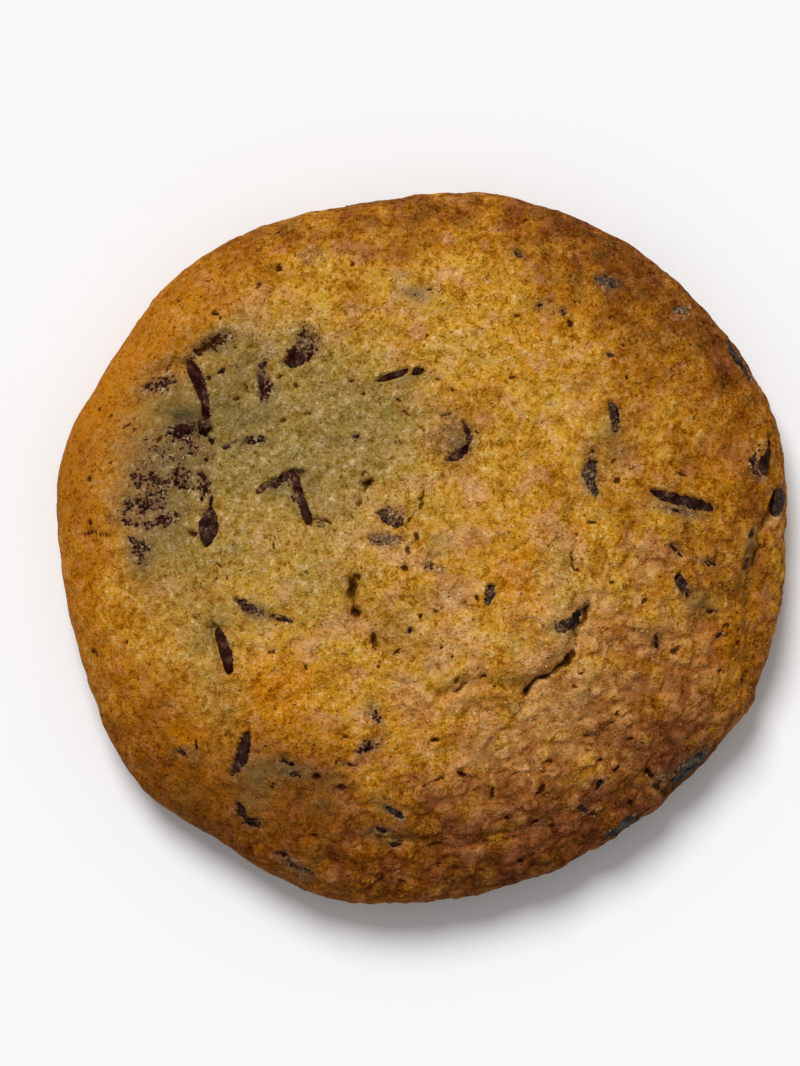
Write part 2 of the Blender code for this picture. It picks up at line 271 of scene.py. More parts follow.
# Narrow cracks: depth, half-width, how dark their painted shade is, and the points that they run through
CRACKS = (
    (1.1, 0.50, 1.0, ((17.8, -12.4), (16.6, -14.0), (14.8, -15.4), (13.2, -16.2), (12.2, -17.2))),
    (0.9, 0.40, 0.8, ((20.2, -5.8), (19.4, -7.6), (18.6, -9.8), (17.8, -12.0))),
    (0.8, 0.36, 0.9, ((8.4, -16.6), (7.2, -15.4), (5.8, -15.9), (4.8, -16.6), (3.9, -17.4))),
    (0.5, 0.28, 0.55, ((-4.6, 9.4), (-5.6, 8.5), (-6.8, 6.8), (-7.6, 5.2), (-8.4, 3.7), (-9.6, 2.5), (-10.6, 1.9))),
    (0.4, 0.24, 0.7, ((0.4, 7.2), (0.3, 6.0), (-0.4, 4.6), (-1.4, 3.0))),
    (0.4, 0.24, 0.6, ((-0.6, 1.0), (-1.6, 0.2), (-1.8, -1.2), (-1.9, -2.6))),
    (0.5, 0.28, 0.7, ((-7.6, -2.8), (-8.4, -4.0), (-8.4, -6.6), (-7.8, -8.4))),
    (0.4, 0.26, 0.6, ((-6.0, -9.2), (-5.8, -11.4), (-5.4, -13.2), (-4.2, -15.0))),
    (0.3, 0.20, 0.6, ((-2.1, 16.0), (-1.2, 15.2), (-0.3, 14.8), (0.1, 14.1))),
    (0.3, 0.20, 0.5, ((-3.0, 14.0), (-2.2, 14.3), (-1.4, 14.9))),
    (0.3, 0.18, 0.5, ((-6.4, 12.6), (-5.2, 13.0))),
    (0.3, 0.18, 0.6, ((-11.0, 13.4), (-9.9, 12.8), (-8.6, 12.6))),
    (0.4, 0.26, 0.5, ((21.8, 9.0), (23.8, 9.2), (25.4, 9.6), (27.2, 9.4))),
    (0.4, 0.22, 0.6, ((17.6, 4.6), (18.4, 3.4), (18.2, 1.0), (17.8, -1.2), (18.3, -2.8))),
    (0.4, 0.26, 0.6, ((-3.2, -12.4), (-2.4, -11.9), (-1.0, -11.8), (0.2, -11.4))),
    (0.3, 0.26, 0.40, ((-5.6, -34.8), (-2.0, -35.2), (1.3, -35.8), (4.8, -35.8), (8.7, -35.1), (13.4, -34.9))),
    (0.3, 0.24, 0.32, ((10.4, -35.7), (13.0, -35.9), (17.0, -35.6))),
    (0.5, 0.34, 0.5, ((41.4, 3.4), (40.9, 1.4), (40.3, -1.0), (40.0, -3.4), (39.6, -6.2))),
    (0.4, 0.30, 0.4, ((39.6, -6.2), (39.5, -10.2), (39.7, -13.6), (39.4, -15.6))),
    (0.5, 0.26, 0.8, ((-39.8, 1.7), (-37.0, 1.5))),
    (0.4, 0.24, 0.5, ((-27.0, -7.9), (-26.0, -9.0), (-25.0, -9.6))),
    (0.3, 0.20, 0.4, ((-26.6, -2.9), (-25.6, -2.6), (-24.6, -2.7))),
    (0.5, 0.26, 0.6, ((-22.1, 21.8), (-21.9, 20.4), (-21.4, 19.6), (-20.8, 19.0), (-20.3, 19.6))),
    (0.6, 0.40, 0.9, ((-28.3, 22.2), (-27.2, 23.2), (-25.8, 24.2), (-24.4, 24.8))),
    (0.3, 0.24, 0.7, ((-32.6, 20.4), (-31.0, 21.2), (-29.4, 21.8), (-28.2, 22.1))),
    (0.4, 0.34, 0.34, ((3.6, -17.4), (1.4, -16.4), (-1.6, -16.4), (-4.2, -15.4))),
    (0.4, 0.30, 0.45, ((9.0, -16.4), (10.6, -16.9), (12.2, -17.0))),
    (0.3, 0.26, 0.42, ((14.6, -21.6), (15.8, -21.0), (17.4, -20.7), (19.4, -20.6))),
    (0.4, 0.28, 0.5, ((19.4, -22.3), (20.8, -22.1), (22.2, -21.3), (22.9, -20.8))),
    (0.3, 0.24, 0.36, ((24.8, -17.8), (26.2, -17.6), (27.6, -17.2))),
    (0.3, 0.24, 0.36, ((21.8, -12.2), (23.4, -12.0), (25.0, -12.1), (26.6, -12.0))),
    (0.3, 0.24, 0.36, ((20.4, -11.6), (21.6, -11.2), (22.6, -11.4))),
    (0.3, 0.24, 0.36, ((24.4, -21.4), (25.6, -21.3), (26.6, -22.2), (28.0, -21.2), (29.4, -20.8))),
    (0.3, 0.24, 0.40, ((6.2, -24.9), (7.6, -24.8), (8.8, -24.2), (10.4, -23.8), (12.0, -23.4))),
    (0.3, 0.24, 0.40, ((6.2, -22.4), (7.0, -22.1), (8.4, -22.4), (10.0, -21.6))),
    (0.3, 0.24, 0.44, ((-4.6, -27.9), (-2.6, -27.9), (-1.2, -27.6), (0.0, -28.0))),
    (0.4, 0.24, 0.6, ((-0.2, -24.6), (0.4, -25.8), (0.8, -26.6))),
    (0.3, 0.24, 0.44, ((10.6, -27.0), (12.6, -26.6), (14.6, -27.0), (15.6, -26.8))),
)

# Holes: x, y, length, width, turn, depth
HOLES = (
    (-6.4, 7.8, 1.7, 0.8, 38, 1.0),
    (-7.6, 5.2, 0.9, 0.5, 30, 0.8),
    (-8.5, 3.6, 0.7, 0.4, 15, 0.6),
    (-0.3, 5.0, 0.9, 0.4, 80, 0.7),
    (-1.3, 3.4, 1.2, 0.4, 65, 0.7),
    (-0.6, 1.4, 1.1, 0.7, 100, 0.8),
    (-1.7, -0.1, 1.1, 0.45, 80, 0.7),
    (-1.9, -2.5, 0.9, 0.7, 95, 0.8),
    (-5.5, -2.0, 0.6, 0.3, 60, 0.4),
    (-8.3, -4.9, 2.7, 1.1, 86, 1.5),
    (-7.7, -3.4, 0.8, 0.7, 0, 0.6),
    (-7.9, -7.7, 1.4, 0.9, 110, 1.1),
    (-5.7, -10.9, 2.4, 0.7, 96, 1.0),
    (-5.3, -14.0, 0.6, 0.4, 100, 0.6),
    (0.0, -8.1, 0.5, 0.45, 0, 0.6),
    (1.9, -7.6, 0.9, 0.4, -25, 0.5),
    (5.1, -6.6, 0.7, 0.5, 0, 0.5),
    (6.5, -6.1, 0.8, 0.35, 80, 0.5),
    (-3.0, -12.3, 0.8, 0.4, 25, 0.6),
    (2.4, -11.9, 0.45, 0.4, 0, 0.5),
    (3.4, -12.9, 0.5, 0.35, 30, 0.5),
    (4.2, -15.6, 0.5, 0.4, 70, 0.6),
    (-11.2, 3.0, 0.8, 0.4, -12, 0.5),
    (-13.4, -2.9, 0.6, 0.5, 0, 0.5),
    (-13.6, -14.1, 0.8, 0.4, -60, 0.5),
    (-17.7, 0.3, 1.7, 0.5, -62, 0.7),
    (-22.8, -1.7, 1.0, 0.45, 68, 0.7),
    (-24.1, -2.2, 1.2, 0.4, -48, 0.6),
    (-24.4, -3.5, 0.7, 0.35, 28, 0.5),
    (-23.4, -3.5, 0.6, 0.4, 80, 0.5),
    (-27.3, 1.7, 0.9, 0.7, 0, 0.8),
    (-39.2, 3.0, 0.5, 0.5, 0, 0.5),
    (-38.9, -12.4, 0.9, 0.4, 90, 0.5),
    (-35.0, -11.3, 1.0, 0.3, 35, 0.35),
    (-17.9, -12.4, 1.2, 0.4, -5, 0.5),
    (-24.6, 27.9, 1.0, 0.5, -10, 0.7),
    (-23.9, 27.3, 0.6, 0.5, 0, 0.6),
    (-22.1, 23.8, 0.8, 0.45, -45, 0.7),
    (-22.1, 18.0, 0.9, 0.45, 20, 0.6),
    (-35.4, 14.4, 1.5, 0.4, 28, 0.5),
    (-37.0, 15.7, 0.6, 0.45, 0, 0.5),
    (-38.6, 16.5, 0.8, 0.5, 90, 0.5),
    (-39.4, 8.0, 0.6, 0.5, 0, 0.5),
    (-31.4, 13.2, 1.1, 0.4, 40, 0.5),
    (-17.0, 20.6, 0.9, 0.35, 0, 0.5),
    (-15.0, 19.5, 1.0, 0.4, -30, 0.5),
    (-16.7, 15.3, 0.9, 0.45, 25, 0.5),
    (-13.7, 16.1, 1.2, 0.4, 0, 0.5),
    (-8.4, 19.8, 0.8, 0.5, 30, 0.5),
    (-7.0, 18.5, 0.45, 0.4, 0, 0.5),
    (-2.9, 17.8, 0.6, 0.5, 0, 0.6),
    (2.0, 20.2, 0.8, 0.35, 0, 0.5),
    (3.7, 18.8, 0.8, 0.3, 80, 0.5),
    (0.5, 25.2, 0.9, 0.3, 85, 0.5),
    (0.0, 26.5, 0.6, 0.4, 20, 0.5),
    (-3.6, 10.8, 0.6, 0.4, 20, 0.5),
    (-6.7, 9.0, 0.8, 0.4, 35, 0.5),
    (2.4, 8.7, 0.8, 0.35, -60, 0.5),
    (-17.0, 33.2, 1.0, 0.7, 30, 0.7),
    (-19.4, 31.1, 1.0, 0.4, 50, 0.6),
    (-17.1, 37.4, 0.9, 0.5, 0, 0.6),
    (-8.3, 33.6, 0.9, 0.4, 40, 0.5),
    (0.7, 30.7, 0.5, 0.4, 0, 0.6),
    (11.3, 27.7, 0.8, 0.5, 0, 0.6),
    (10.8, 20.2, 0.7, 0.4, 0, 0.5),
    (17.5, 26.7, 0.9, 0.5, 0, 0.5),
    (23.9, 24.1, 1.1, 0.3, 15, 0.5),
    (24.2, 20.2, 0.9, 0.4, 90, 0.6),
    (18.1, 29.3, 0.8, 0.4, -20, 0.5),
    (23.3, 8.0, 0.9, 0.35, 10, 0.6),
    (22.8, 10.4, 0.7, 0.3, 35, 0.5),
    (26.9, 9.8, 0.7, 0.3, 45, 0.5),
    (30.9, 8.8, 0.9, 0.45, -30, 0.7),
    (20.2, 3.0, 1.3, 0.35, 0, 0.6),
    (18.4, -2.6, 0.9, 0.4, -25, 0.6),
    (22.6, -4.1, 0.8, 0.4, -20, 0.6),
    (26.6, -6.4, 1.0, 0.35, 32, 0.6),
    (34.7, -7.7, 1.2, 0.5, -12, 0.7),
    (36.3, -9.4, 0.8, 0.6, 0, 0.6),
    (30.2, -12.2, 2.1, 0.7, 30, 0.6),
    (18.1, -16.5, 0.9, 0.5, 35, 0.6),
    (18.9, -15.0, 0.7, 0.4, 0, 0.6),
    (23.0, -19.8, 0.9, 0.4, 60, 0.5),
    (24.9, -22.8, 1.0, 0.4, 48, 0.6),
    (21.4, -25.4, 0.7, 0.5, 0, 0.7),
    (23.3, -26.4, 1.3, 0.6, 45, 0.8),
    (27.2, -27.0, 1.7, 0.7, -50, 0.8),
    (25.0, -30.8, 1.1, 0.5, -60, 0.7),
    (14.2, -28.8, 1.7, 0.7, 60, 0.8),
    (15.3, -25.6, 0.8, 0.4, -50, 0.6),
    (8.4, -29.3, 1.9, 0.6, 82, 0.8),
    (10.3, -32.3, 1.0, 0.4, -50, 0.7),
    (15.7, -33.7, 0.9, 0.5, 35, 0.7),
    (4.7, -27.0, 1.5, 0.5, -30, 0.7),
    (2.0, -27.5, 0.9, 0.4, 15, 0.6),
    (0.1, -28.1, 0.8, 0.4, 0, 0.6),
    (1.6, -22.8, 1.4, 0.5, 15, 0.5),
    (31.0, -17.1, 0.5, 0.4, 0, 0.5),
    (35.5, -14.6, 1.6, 0.5, 10, 0.4),
    (37.7, -11.5, 0.8, 0.5, 0, 0.4),
    (-17.6, -18.9, 1.1, 0.4, 58, 0.6),
    (-26.8, -23.4, 1.2, 0.45, 90, 0.7),
    (-12.9, -34.3, 0.7, 0.5, 20, 0.7),
    (-12.6, -27.3, 1.0, 0.8, 0, 0.8),
    (-9.6, -28.7, 1.4, 0.6, 12, 0.6),
    (-8.3, -25.9, 1.7, 0.45, 0, 0.6),
    (-17.6, -28.3, 1.2, 0.4, 68, 0.7),
    (-9.0, -22.5, 0.9, 0.3, -5, 0.4),
    (-4.8, -39.5, 0.9, 0.4, 55, 0.6),
    (-2.5, -39.9, 0.7, 0.4, -60, 0.6),
    (1.9, -38.0, 1.0, 0.35, 78, 0.5),
    (7.2, -38.6, 0.9, 0.35, 5, 0.5),
    (12.0, -37.8, 1.0, 0.5, -50, 0.6),
    (13.8, -33.2, 0.9, 0.5, 20, 0.6),
)

DIMPLE_COUNT = 900


def random_places(count, seed, weight):
    """Places scattered over the top, kept by the weight of each from 0 to 1."""
    draw = random.Random(seed)
    kept = []
    while len(kept) < count:
        distance = RIM_RADIUS * 1.01 * math.sqrt(draw.random())
        bearing = draw.uniform(0, 2 * math.pi)
        x, y = distance * math.cos(bearing), distance * math.sin(bearing)
        if draw.random() < weight(x, y):
            kept.append((x, y, draw.random(), draw.random(), draw.uniform(0, 180)))
    return kept


def crag_weight(x, y):
    """How craggy the crust is: most in the south-east, least on the smooth west rim."""
    smooth = blob(x, y, -40, 0, 16, 16, 0)
    basin = blob(x, y, -15, 8, 18, 18, 0)
    craggy = blob(x, y, 18, -22, 20, 20, 0)
    return np.clip(0.42 + 0.25 * basin + 0.4 * craggy - 0.4 * smooth, 0.06, 1)


def pits():
    """Every hole and dimple: x, y, half-length, half-width, turn, depth, how dark its painted shade is."""
    found = [(x, y, long / 2, wide / 2, turn, deep, 1.0) for x, y, long, wide, turn, deep in HOLES]
    for x, y, first, second, turn in random_places(DIMPLE_COUNT, SEED + 1, crag_weight):
        radius = 0.5 + 0.6 * first
        found.append((x, y, radius * (1 + second), radius, turn, 0.10 + 0.2 * second, 0.12))
    return found


def pit_fields(skin):
    """Depth of the holes and dimples at each point of the skin, and how dark their painted shade is."""
    top = np.nonzero(skin.is_top)[0]
    shift = [(0.34 * skin.lumps(1.0, seed) + 0.24 * skin.lumps(0.45, seed + 2))[top] for seed in (26, 27)]
    tree = tree_of(list(zip(skin.x[top] + shift[0], skin.y[top] + shift[1], np.zeros(len(top)))))
    depth, dark = np.zeros_like(skin.x), np.zeros_like(skin.x)
    for x, y, half_x, half_y, turn, deepest, shade in pits():
        for place, number, _away in tree.find_range((x, y, 0), half_x * 2.2):
            here = blob(place.x, place.y, x, y, half_x, half_y, turn)
            index = top[number]
            depth[index] = max(depth[index], deepest * here)
            dark[index] = max(dark[index], shade * here)
    return depth, dark


def crack_fields(skin):
    """Depth and painted shade of the narrow cracks, which wander and break up along their length."""
    x = skin.x + 0.55 * skin.lumps(1.8, 21) + 0.25 * skin.lumps(0.8, 22)
    y = skin.y + 0.55 * skin.lumps(1.8, 23) + 0.25 * skin.lumps(0.8, 24)
    broken = np.clip(0.75 + 1.3 * skin.lumps(1.6, 25), 0, 1.2) * skin.is_top
    depth, dark = np.zeros_like(x), np.zeros_like(x)
    for deepest, half_width, shade, points in CRACKS:
        here = np.exp(-((distance_to_line(x, y, points) / half_width / 0.8) ** 2)) * broken
        depth = np.maximum(depth, deepest * here)
        dark = np.maximum(dark, shade * here)
    return depth, np.clip(dark, 0, 1)


def cell_seams(skin, size, seed):
    """Seams between rounded plates or grains, 1 in the seam and 0 on the plates."""
    warp = np.stack([skin.lumps(size * 0.7, seed + step) for step in range(3)], axis=1)
    gaps = []
    for place in skin.plain / size + 0.30 * warp:
        (first, second, _third, _fourth), _points = noise.voronoi(Vector(place))
        gaps.append(second - first)
    return np.exp(-((np.array(gaps) / 0.20) ** 2))


def crumb_relief(skin):
    """Lumps, crumb and plates too fine for the solid: height, then how dark the painted shade in the seams is."""
    smooth = blob(skin.x, skin.y, -40, 0, 9, 26, 0)
    craggy = np.clip((skin.x - skin.y - 10) / 30, 0, 1) * (1 - smooth)
    lumpy = 0.28 * skin.lumps(2.6, 31) + 0.18 * skin.lumps(1.3, 32)
    crumb = 0.16 * skin.lumps(0.75, 33)
    seams = cell_seams(skin, 1.2, 34) * np.clip(0.5 + skin.lumps(4.0, 37), 0, 1)
    plates = cell_seams(skin, 2.7, 38) * np.clip(craggy + 0.8 * skin.lumps(3.4, 41), 0, 1)
    calm = (1 - 0.5 * smooth) * (0.5 + 0.5 * smooth_step(0.1, 0.7, skin.ways[:, 2]))
    height = (1.25 * lumpy + crumb) * calm - 0.09 * seams - 0.17 * plates
    return height + swelling(skin.x, skin.y, LUMPS), np.maximum(0.35 * seams, plates) * skin.is_top


def smooth_step(low, high, value):
    """0 below low and 1 above high, with a soft climb between."""
    share = np.clip((value - low) / (high - low), 0, 1)
    return share * share * (3 - 2 * share)


# ---------------------------------------------------------------- how the chocolate sits

# For each piece: how deep its top lies, how much crumb dusts it from 0 to 1, which way the
# dust thickens as a bearing, how fast, and how far its surface has greyed from 0 to 1, partly by
# bloom and partly as painted sheen
SETTINGS = {
    "chunk_ridge": (0.40, 0.00, 20, 0.05, 0.0),
    "chunk_maroon": (0.20, 0.22, 60, 0.40, 0.0),
    "chunk_upright": (0.45, 0.12, 0, 0.35, 0.1),
    "chunk_black_slit": (0.60, 0.00, 0, 0.05, 0.0),
    "chunk_under_lump": (0.35, 0.20, 120, 0.30, 0.0),
    "chunk_big": (0.62, 0.10, 255, 0.36, 0.1),
    "chunk_middle_east": (0.25, 0.30, 200, 0.20, 0.3),
    "chunk_thin_upright": (0.35, 0.20, 270, 0.40, 0.1),
    "chunk_north": (0.35, 0.30, 0, 0.10, 0.4),
    "chunk_north_east": (0.35, 0.40, 0, 0.20, 0.4),
    "chunk_teardrop": (0.25, 0.12, 100, 0.10, 0.1),
    "chunk_forked": (0.30, 0.14, 90, 0.22, 0.0),
    "chunk_west_shard": (0.35, 0.42, 0, 0.30, 0.1),
    "chunk_west_bar": (0.28, 0.00, 0, 0.02, 0.0),
    "chunk_south_bar": (0.34, 0.02, 290, 0.25, 0.1),
    "chunk_south_bit": (0.45, 0.02, 0, 0.02, 0.1),
    "chunk_south_sliver": (0.45, 0.04, 0, 0.05, 0.3),
    "chunk_middle_upper": (0.12, 0.44, 40, 0.14, 0.1),
    "chunk_middle_lower": (0.12, 0.60, 0, 0.05, 0.1),
    "chunk_cap_dot": (0.25, 0.34, 0, 0.10, 0.2),
    "chunk_in_crack": (0.35, 0.18, 220, 0.30, 0.2),
    "chunk_east": (0.35, 0.14, 300, 0.34, 0.1),
    "chunk_rim_south_east": (0.30, 0.20, 45, 0.16, 0.75),
    "chunk_rim_line": (0.30, 0.05, 0, 0.00, 0.8),
    "chunk_rim_black": (0.30, 0.05, 90, 0.10, 0.1),
    "chunk_rim_purple": (0.25, 0.12, 0, 0.10, 0.3),
    "chunk_rim_thin": (0.25, 0.10, 0, 0.10, 0.3),
}

# Where each piece shows through the crust: strokes of x, y and half-width
WINDOWS = {
    "chunk_ridge": (
        ((-28.1, 22.0, 0.60), (-27.3, 20.8, 0.78), (-26.5, 19.2, 0.68), (-26.1, 17.4, 0.42), (-26.0, 15.6, 0.34)),
        ((-26.1, 15.2, 0.45), (-26.0, 14.2, 0.85)),
    ),
    "chunk_maroon": (((-16.2, 22.0, 0.50), (-15.1, 22.7, 1.00), (-14.2, 23.7, 0.95), (-13.6, 24.8, 0.50)),),
    "chunk_upright": (((-18.8, 22.4, 0.14), (-19.2, 21.2, 0.26), (-19.4, 19.8, 0.34), (-19.2, 18.6, 0.20)),),
    "chunk_black_slit": (
        ((-5.3, 20.0, 0.26), (-3.8, 20.5, 0.42), (-1.9, 21.2, 0.34)),
        ((-0.8, 21.0, 0.36), (0.1, 21.2, 0.40)),
    ),
    "chunk_under_lump": (
        ((3.0, 10.3, 0.24), (4.2, 11.0, 0.40), (5.3, 11.8, 0.34)),
        ((5.7, 12.6, 0.24), (5.4, 13.8, 0.30), (5.0, 14.8, 0.16)),
        ((2.2, 15.8, 0.14), (3.3, 15.9, 0.24)),
    ),
    "chunk_big": (
        ((27.4, 6.7, 0.24), (28.6, 6.2, 0.50), (30.6, 5.7, 0.66)),
        ((30.6, 5.7, 0.66), (32.8, 5.2, 0.66), (34.4, 4.8, 0.48), (35.4, 4.5, 0.22)),
    ),
    "chunk_middle_east": (
        ((20.1, 10.0, 0.36), (19.9, 8.8, 0.74), (19.9, 7.8, 0.52), (20.6, 6.8, 0.28), (21.1, 5.9, 0.16)),
    ),
    "chunk_thin_upright": (((22.6, 17.2, 0.32), (22.9, 16.2, 0.60), (23.0, 15.0, 0.46), (23.0, 13.8, 0.26)),),
    "chunk_north": (((20.9, 32.1, 0.28), (22.0, 31.8, 0.62), (23.2, 31.5, 0.36)),),
    "chunk_north_east": (((30.2, 28.2, 0.22), (31.2, 28.3, 0.42), (32.0, 28.6, 0.18)),),
    "chunk_teardrop": (
        ((-25.2, 4.8, 0.26), (-25.3, 3.6, 0.80), (-25.4, 2.4, 1.14), (-25.6, 1.3, 0.76), (-25.8, 0.3, 0.28)),
    ),
    "chunk_forked": (
        ((-16.5, 8.6, 0.40), (-15.3, 8.8, 0.70), (-14.4, 9.0, 0.42)),
        ((-15.2, 8.2, 0.44), (-14.7, 6.4, 0.36), (-14.0, 4.6, 0.40), (-13.4, 2.9, 0.44)),
        ((-19.8, 6.6, 0.16), (-18.8, 7.5, 0.34), (-17.4, 8.0, 0.30), (-16.4, 8.4, 0.40)),
        ((-12.8, 3.5, 0.20), (-11.6, 3.2, 0.26), (-10.9, 3.0, 0.12)),
    ),
    "chunk_west_shard": (
        ((-22.3, -6.2, 0.24), (-21.3, -6.6, 0.38), (-20.4, -7.2, 0.22), (-19.6, -7.6, 0.10)),
        ((-17.9, -8.2, 0.18), (-16.8, -8.4, 0.28), (-16.0, -8.5, 0.22)),
    ),
    "chunk_west_bar": (((-24.6, -9.6, 0.60), (-24.1, -11.0, 0.86), (-23.6, -12.6, 0.96), (-23.2, -14.4, 0.86)),),
    "chunk_south_bar": (
        ((-20.8, -22.2, 0.50), (-21.0, -23.4, 0.66), (-21.4, -25.0, 0.66), (-22.0, -26.3, 0.42), (-22.5, -27.2, 0.20)),
    ),
    "chunk_south_bit": (
        ((-21.8, -30.7, 0.34), (-21.5, -31.8, 0.50)),
        ((-21.0, -32.7, 0.34), (-19.7, -33.1, 0.50)),
    ),
    "chunk_south_sliver": (((-4.4, -30.9, 0.12), (-3.3, -31.5, 0.30), (-2.4, -32.3, 0.18)),),
    "chunk_middle_upper": (((-5.0, 4.1, 0.30), (-4.0, 3.8, 0.72), (-2.9, 3.1, 0.72), (-2.4, 2.6, 0.36)),),
    "chunk_middle_lower": (((-6.0, 1.1, 0.14), (-5.0, 1.0, 0.40), (-3.6, 0.9, 0.34), (-2.6, 1.1, 0.14)),),
    "chunk_cap_dot": (((8.1, -4.6, 0.30), (8.0, -5.4, 0.48), (7.7, -6.6, 0.34)),),
    "chunk_in_crack": (
        ((18.0, -8.3, 0.20), (19.0, -7.6, 0.34), (19.7, -7.0, 0.24)),
        ((16.1, -9.7, 0.24), (17.0, -9.2, 0.66), (18.1, -8.8, 0.50)),
    ),
    "chunk_east": (((30.6, -3.5, 0.32), (31.1, -4.6, 0.62), (31.9, -5.8, 0.34)),),
    "chunk_rim_south_east": (((35.7, -24.1, 0.40), (34.0, -25.6, 0.80), (31.8, -27.6, 0.90), (29.5, -29.6, 0.50)),),
    "chunk_rim_line": (((26.0, -32.2, 0.30), (24.0, -33.5, 0.40), (22.0, -34.6, 0.26)),),
    "chunk_rim_black": (
        ((41.5, 8.8, 0.40), (41.2, 9.8, 0.80), (41.4, 11.0, 0.44)),
        ((41.4, 11.6, 0.20), (41.5, 13.2, 0.26)),
    ),
    "chunk_rim_purple": (((41.9, 3.4, 0.44), (42.4, 4.8, 0.86), (42.8, 6.2, 0.80)),),
    "chunk_rim_thin": (((36.8, 24.6, 0.24), (38.0, 22.6, 0.46), (39.4, 20.4, 0.30)),),
}
SOCKET_DEPTH = 1.1
CLEAN_EDGED = (
    "chunk_ridge",
    "chunk_big",
    "chunk_black_slit",
    "chunk_teardrop",
    "chunk_forked",
    "chunk_west_bar",
    "chunk_south_bar",
    "chunk_rim_south_east",
    "chunk_rim_black",
    "chunk_rim_purple",
)


def chunk_names():
    """The model's chocolate nodes."""
    return sorted(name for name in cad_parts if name.startswith("chunk_"))


def chunk_tree(name):
    """A tree of one chocolate node's surface, for measuring distances to it."""
    surface = bmesh.new()
    surface.from_mesh(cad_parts[name].data)
    solid = BVHTree.FromBMesh(surface)
    surface.free()
    return solid


def dust_share(name, places):
    """How much crumb dusts a piece at each place, from 0 to 1."""
    _recess, dust, bearing, slope, _bloom_and_sheen = SETTINGS[name]
    low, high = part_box(name)
    middle, half = (low + high) / 2 / MM, max(high - low) / 2 / MM
    along, _across = turned(places[:, 0] - middle.x, places[:, 1] - middle.y, bearing)
    return np.clip(dust + slope * along / half, 0, 1)


def stroke_reach(x, y, stroke):
    """How far inside a tapering stroke each place lies, negative outside it."""
    reach = np.full_like(x, -9.0)
    for (ax, ay, first), (bx, by, last) in zip(stroke, stroke[1:]):
        run_x, run_y = bx - ax, by - ay
        along = ((x - ax) * run_x + (y - ay) * run_y) / (run_x**2 + run_y**2)
        along = np.clip(along, 0, 1)
        away = np.hypot(x - ax - along * run_x, y - ay - along * run_y)
        reach = np.maximum(reach, first + (last - first) * along - away)
    return reach


def bit_stroke(x, y, length, width, turn):
    """The window of a small bit of chocolate, a little smaller than the bit."""
    half = max(length - width, 0.1) / 2
    step_x, step_y = half * math.cos(math.radians(turn)), half * math.sin(math.radians(turn))
    return (x - step_x, y - step_y, width * 0.40), (x + step_x, y + step_y, width * 0.48)


def torn(skin, size, seed):
    """How far each place is shifted, so that what is drawn on it gets a ragged edge."""
    return 0.22 * skin.lumps(size, seed) + 0.14 * skin.lumps(size * 0.45, seed + 1)


def window_fields(skin):
    """Depth of the openings over chocolate, nearness to them, and the film of dough over it."""
    shift_x, shift_y = torn(skin, 1.0, 41), torn(skin, 1.0, 43)
    reach = np.full_like(skin.x, -9.0)
    clean = np.full_like(skin.x, -9.0)
    for name in chunk_names():
        share = 0.35 if name in CLEAN_EDGED else 1.0
        x, y = skin.x + share * shift_x, skin.y + share * shift_y
        piece = np.max([stroke_reach(x, y, stroke) for stroke in WINDOWS[name]], axis=0)
        reach = np.maximum(reach, piece)
        clean = np.maximum(clean, piece if name in CLEAN_EDGED else -9.0)
    x, y = skin.x + shift_x, skin.y + shift_y
    bits = np.max([stroke_reach(x, y, bit_stroke(*bit)) for bit in BITS], axis=0)
    depth = SOCKET_DEPTH * smooth_step(-0.10, 0.12, reach)
    depth = np.maximum(depth, BIT_POCKET * smooth_step(-0.12, 0.08, bits)) * skin.is_top
    near = np.exp(-((np.clip(-np.maximum(reach, bits), 0, None) / 0.45) ** 2)) * skin.is_top
    near = near * (1 - 0.8 * smooth_step(-1.2, -0.6, clean))
    under = np.zeros_like(x)
    for name in chunk_names():
        low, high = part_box(name)
        solid = chunk_tree(name)
        found = skin.tree.find_range((low + high) / 2 / MM, (high - low).length / 2 / MM + 1.5)
        index = np.array([item[1] for item in found])
        away = np.array([signed_distance(solid, item[0] * MM) / MM for item in found])
        under[index] = np.maximum(under[index], 1 - smooth_step(-0.3, 0.5, away))
    return depth, near, under * (1 - smooth_step(-0.1, 0.1, reach))


def signed_distance(solid, place):
    """Distance from a place to a solid, negative inside it."""
    spot, normal, _face, away = solid.find_nearest(place)
    return -away if (place - spot).dot(normal) < 0 else away


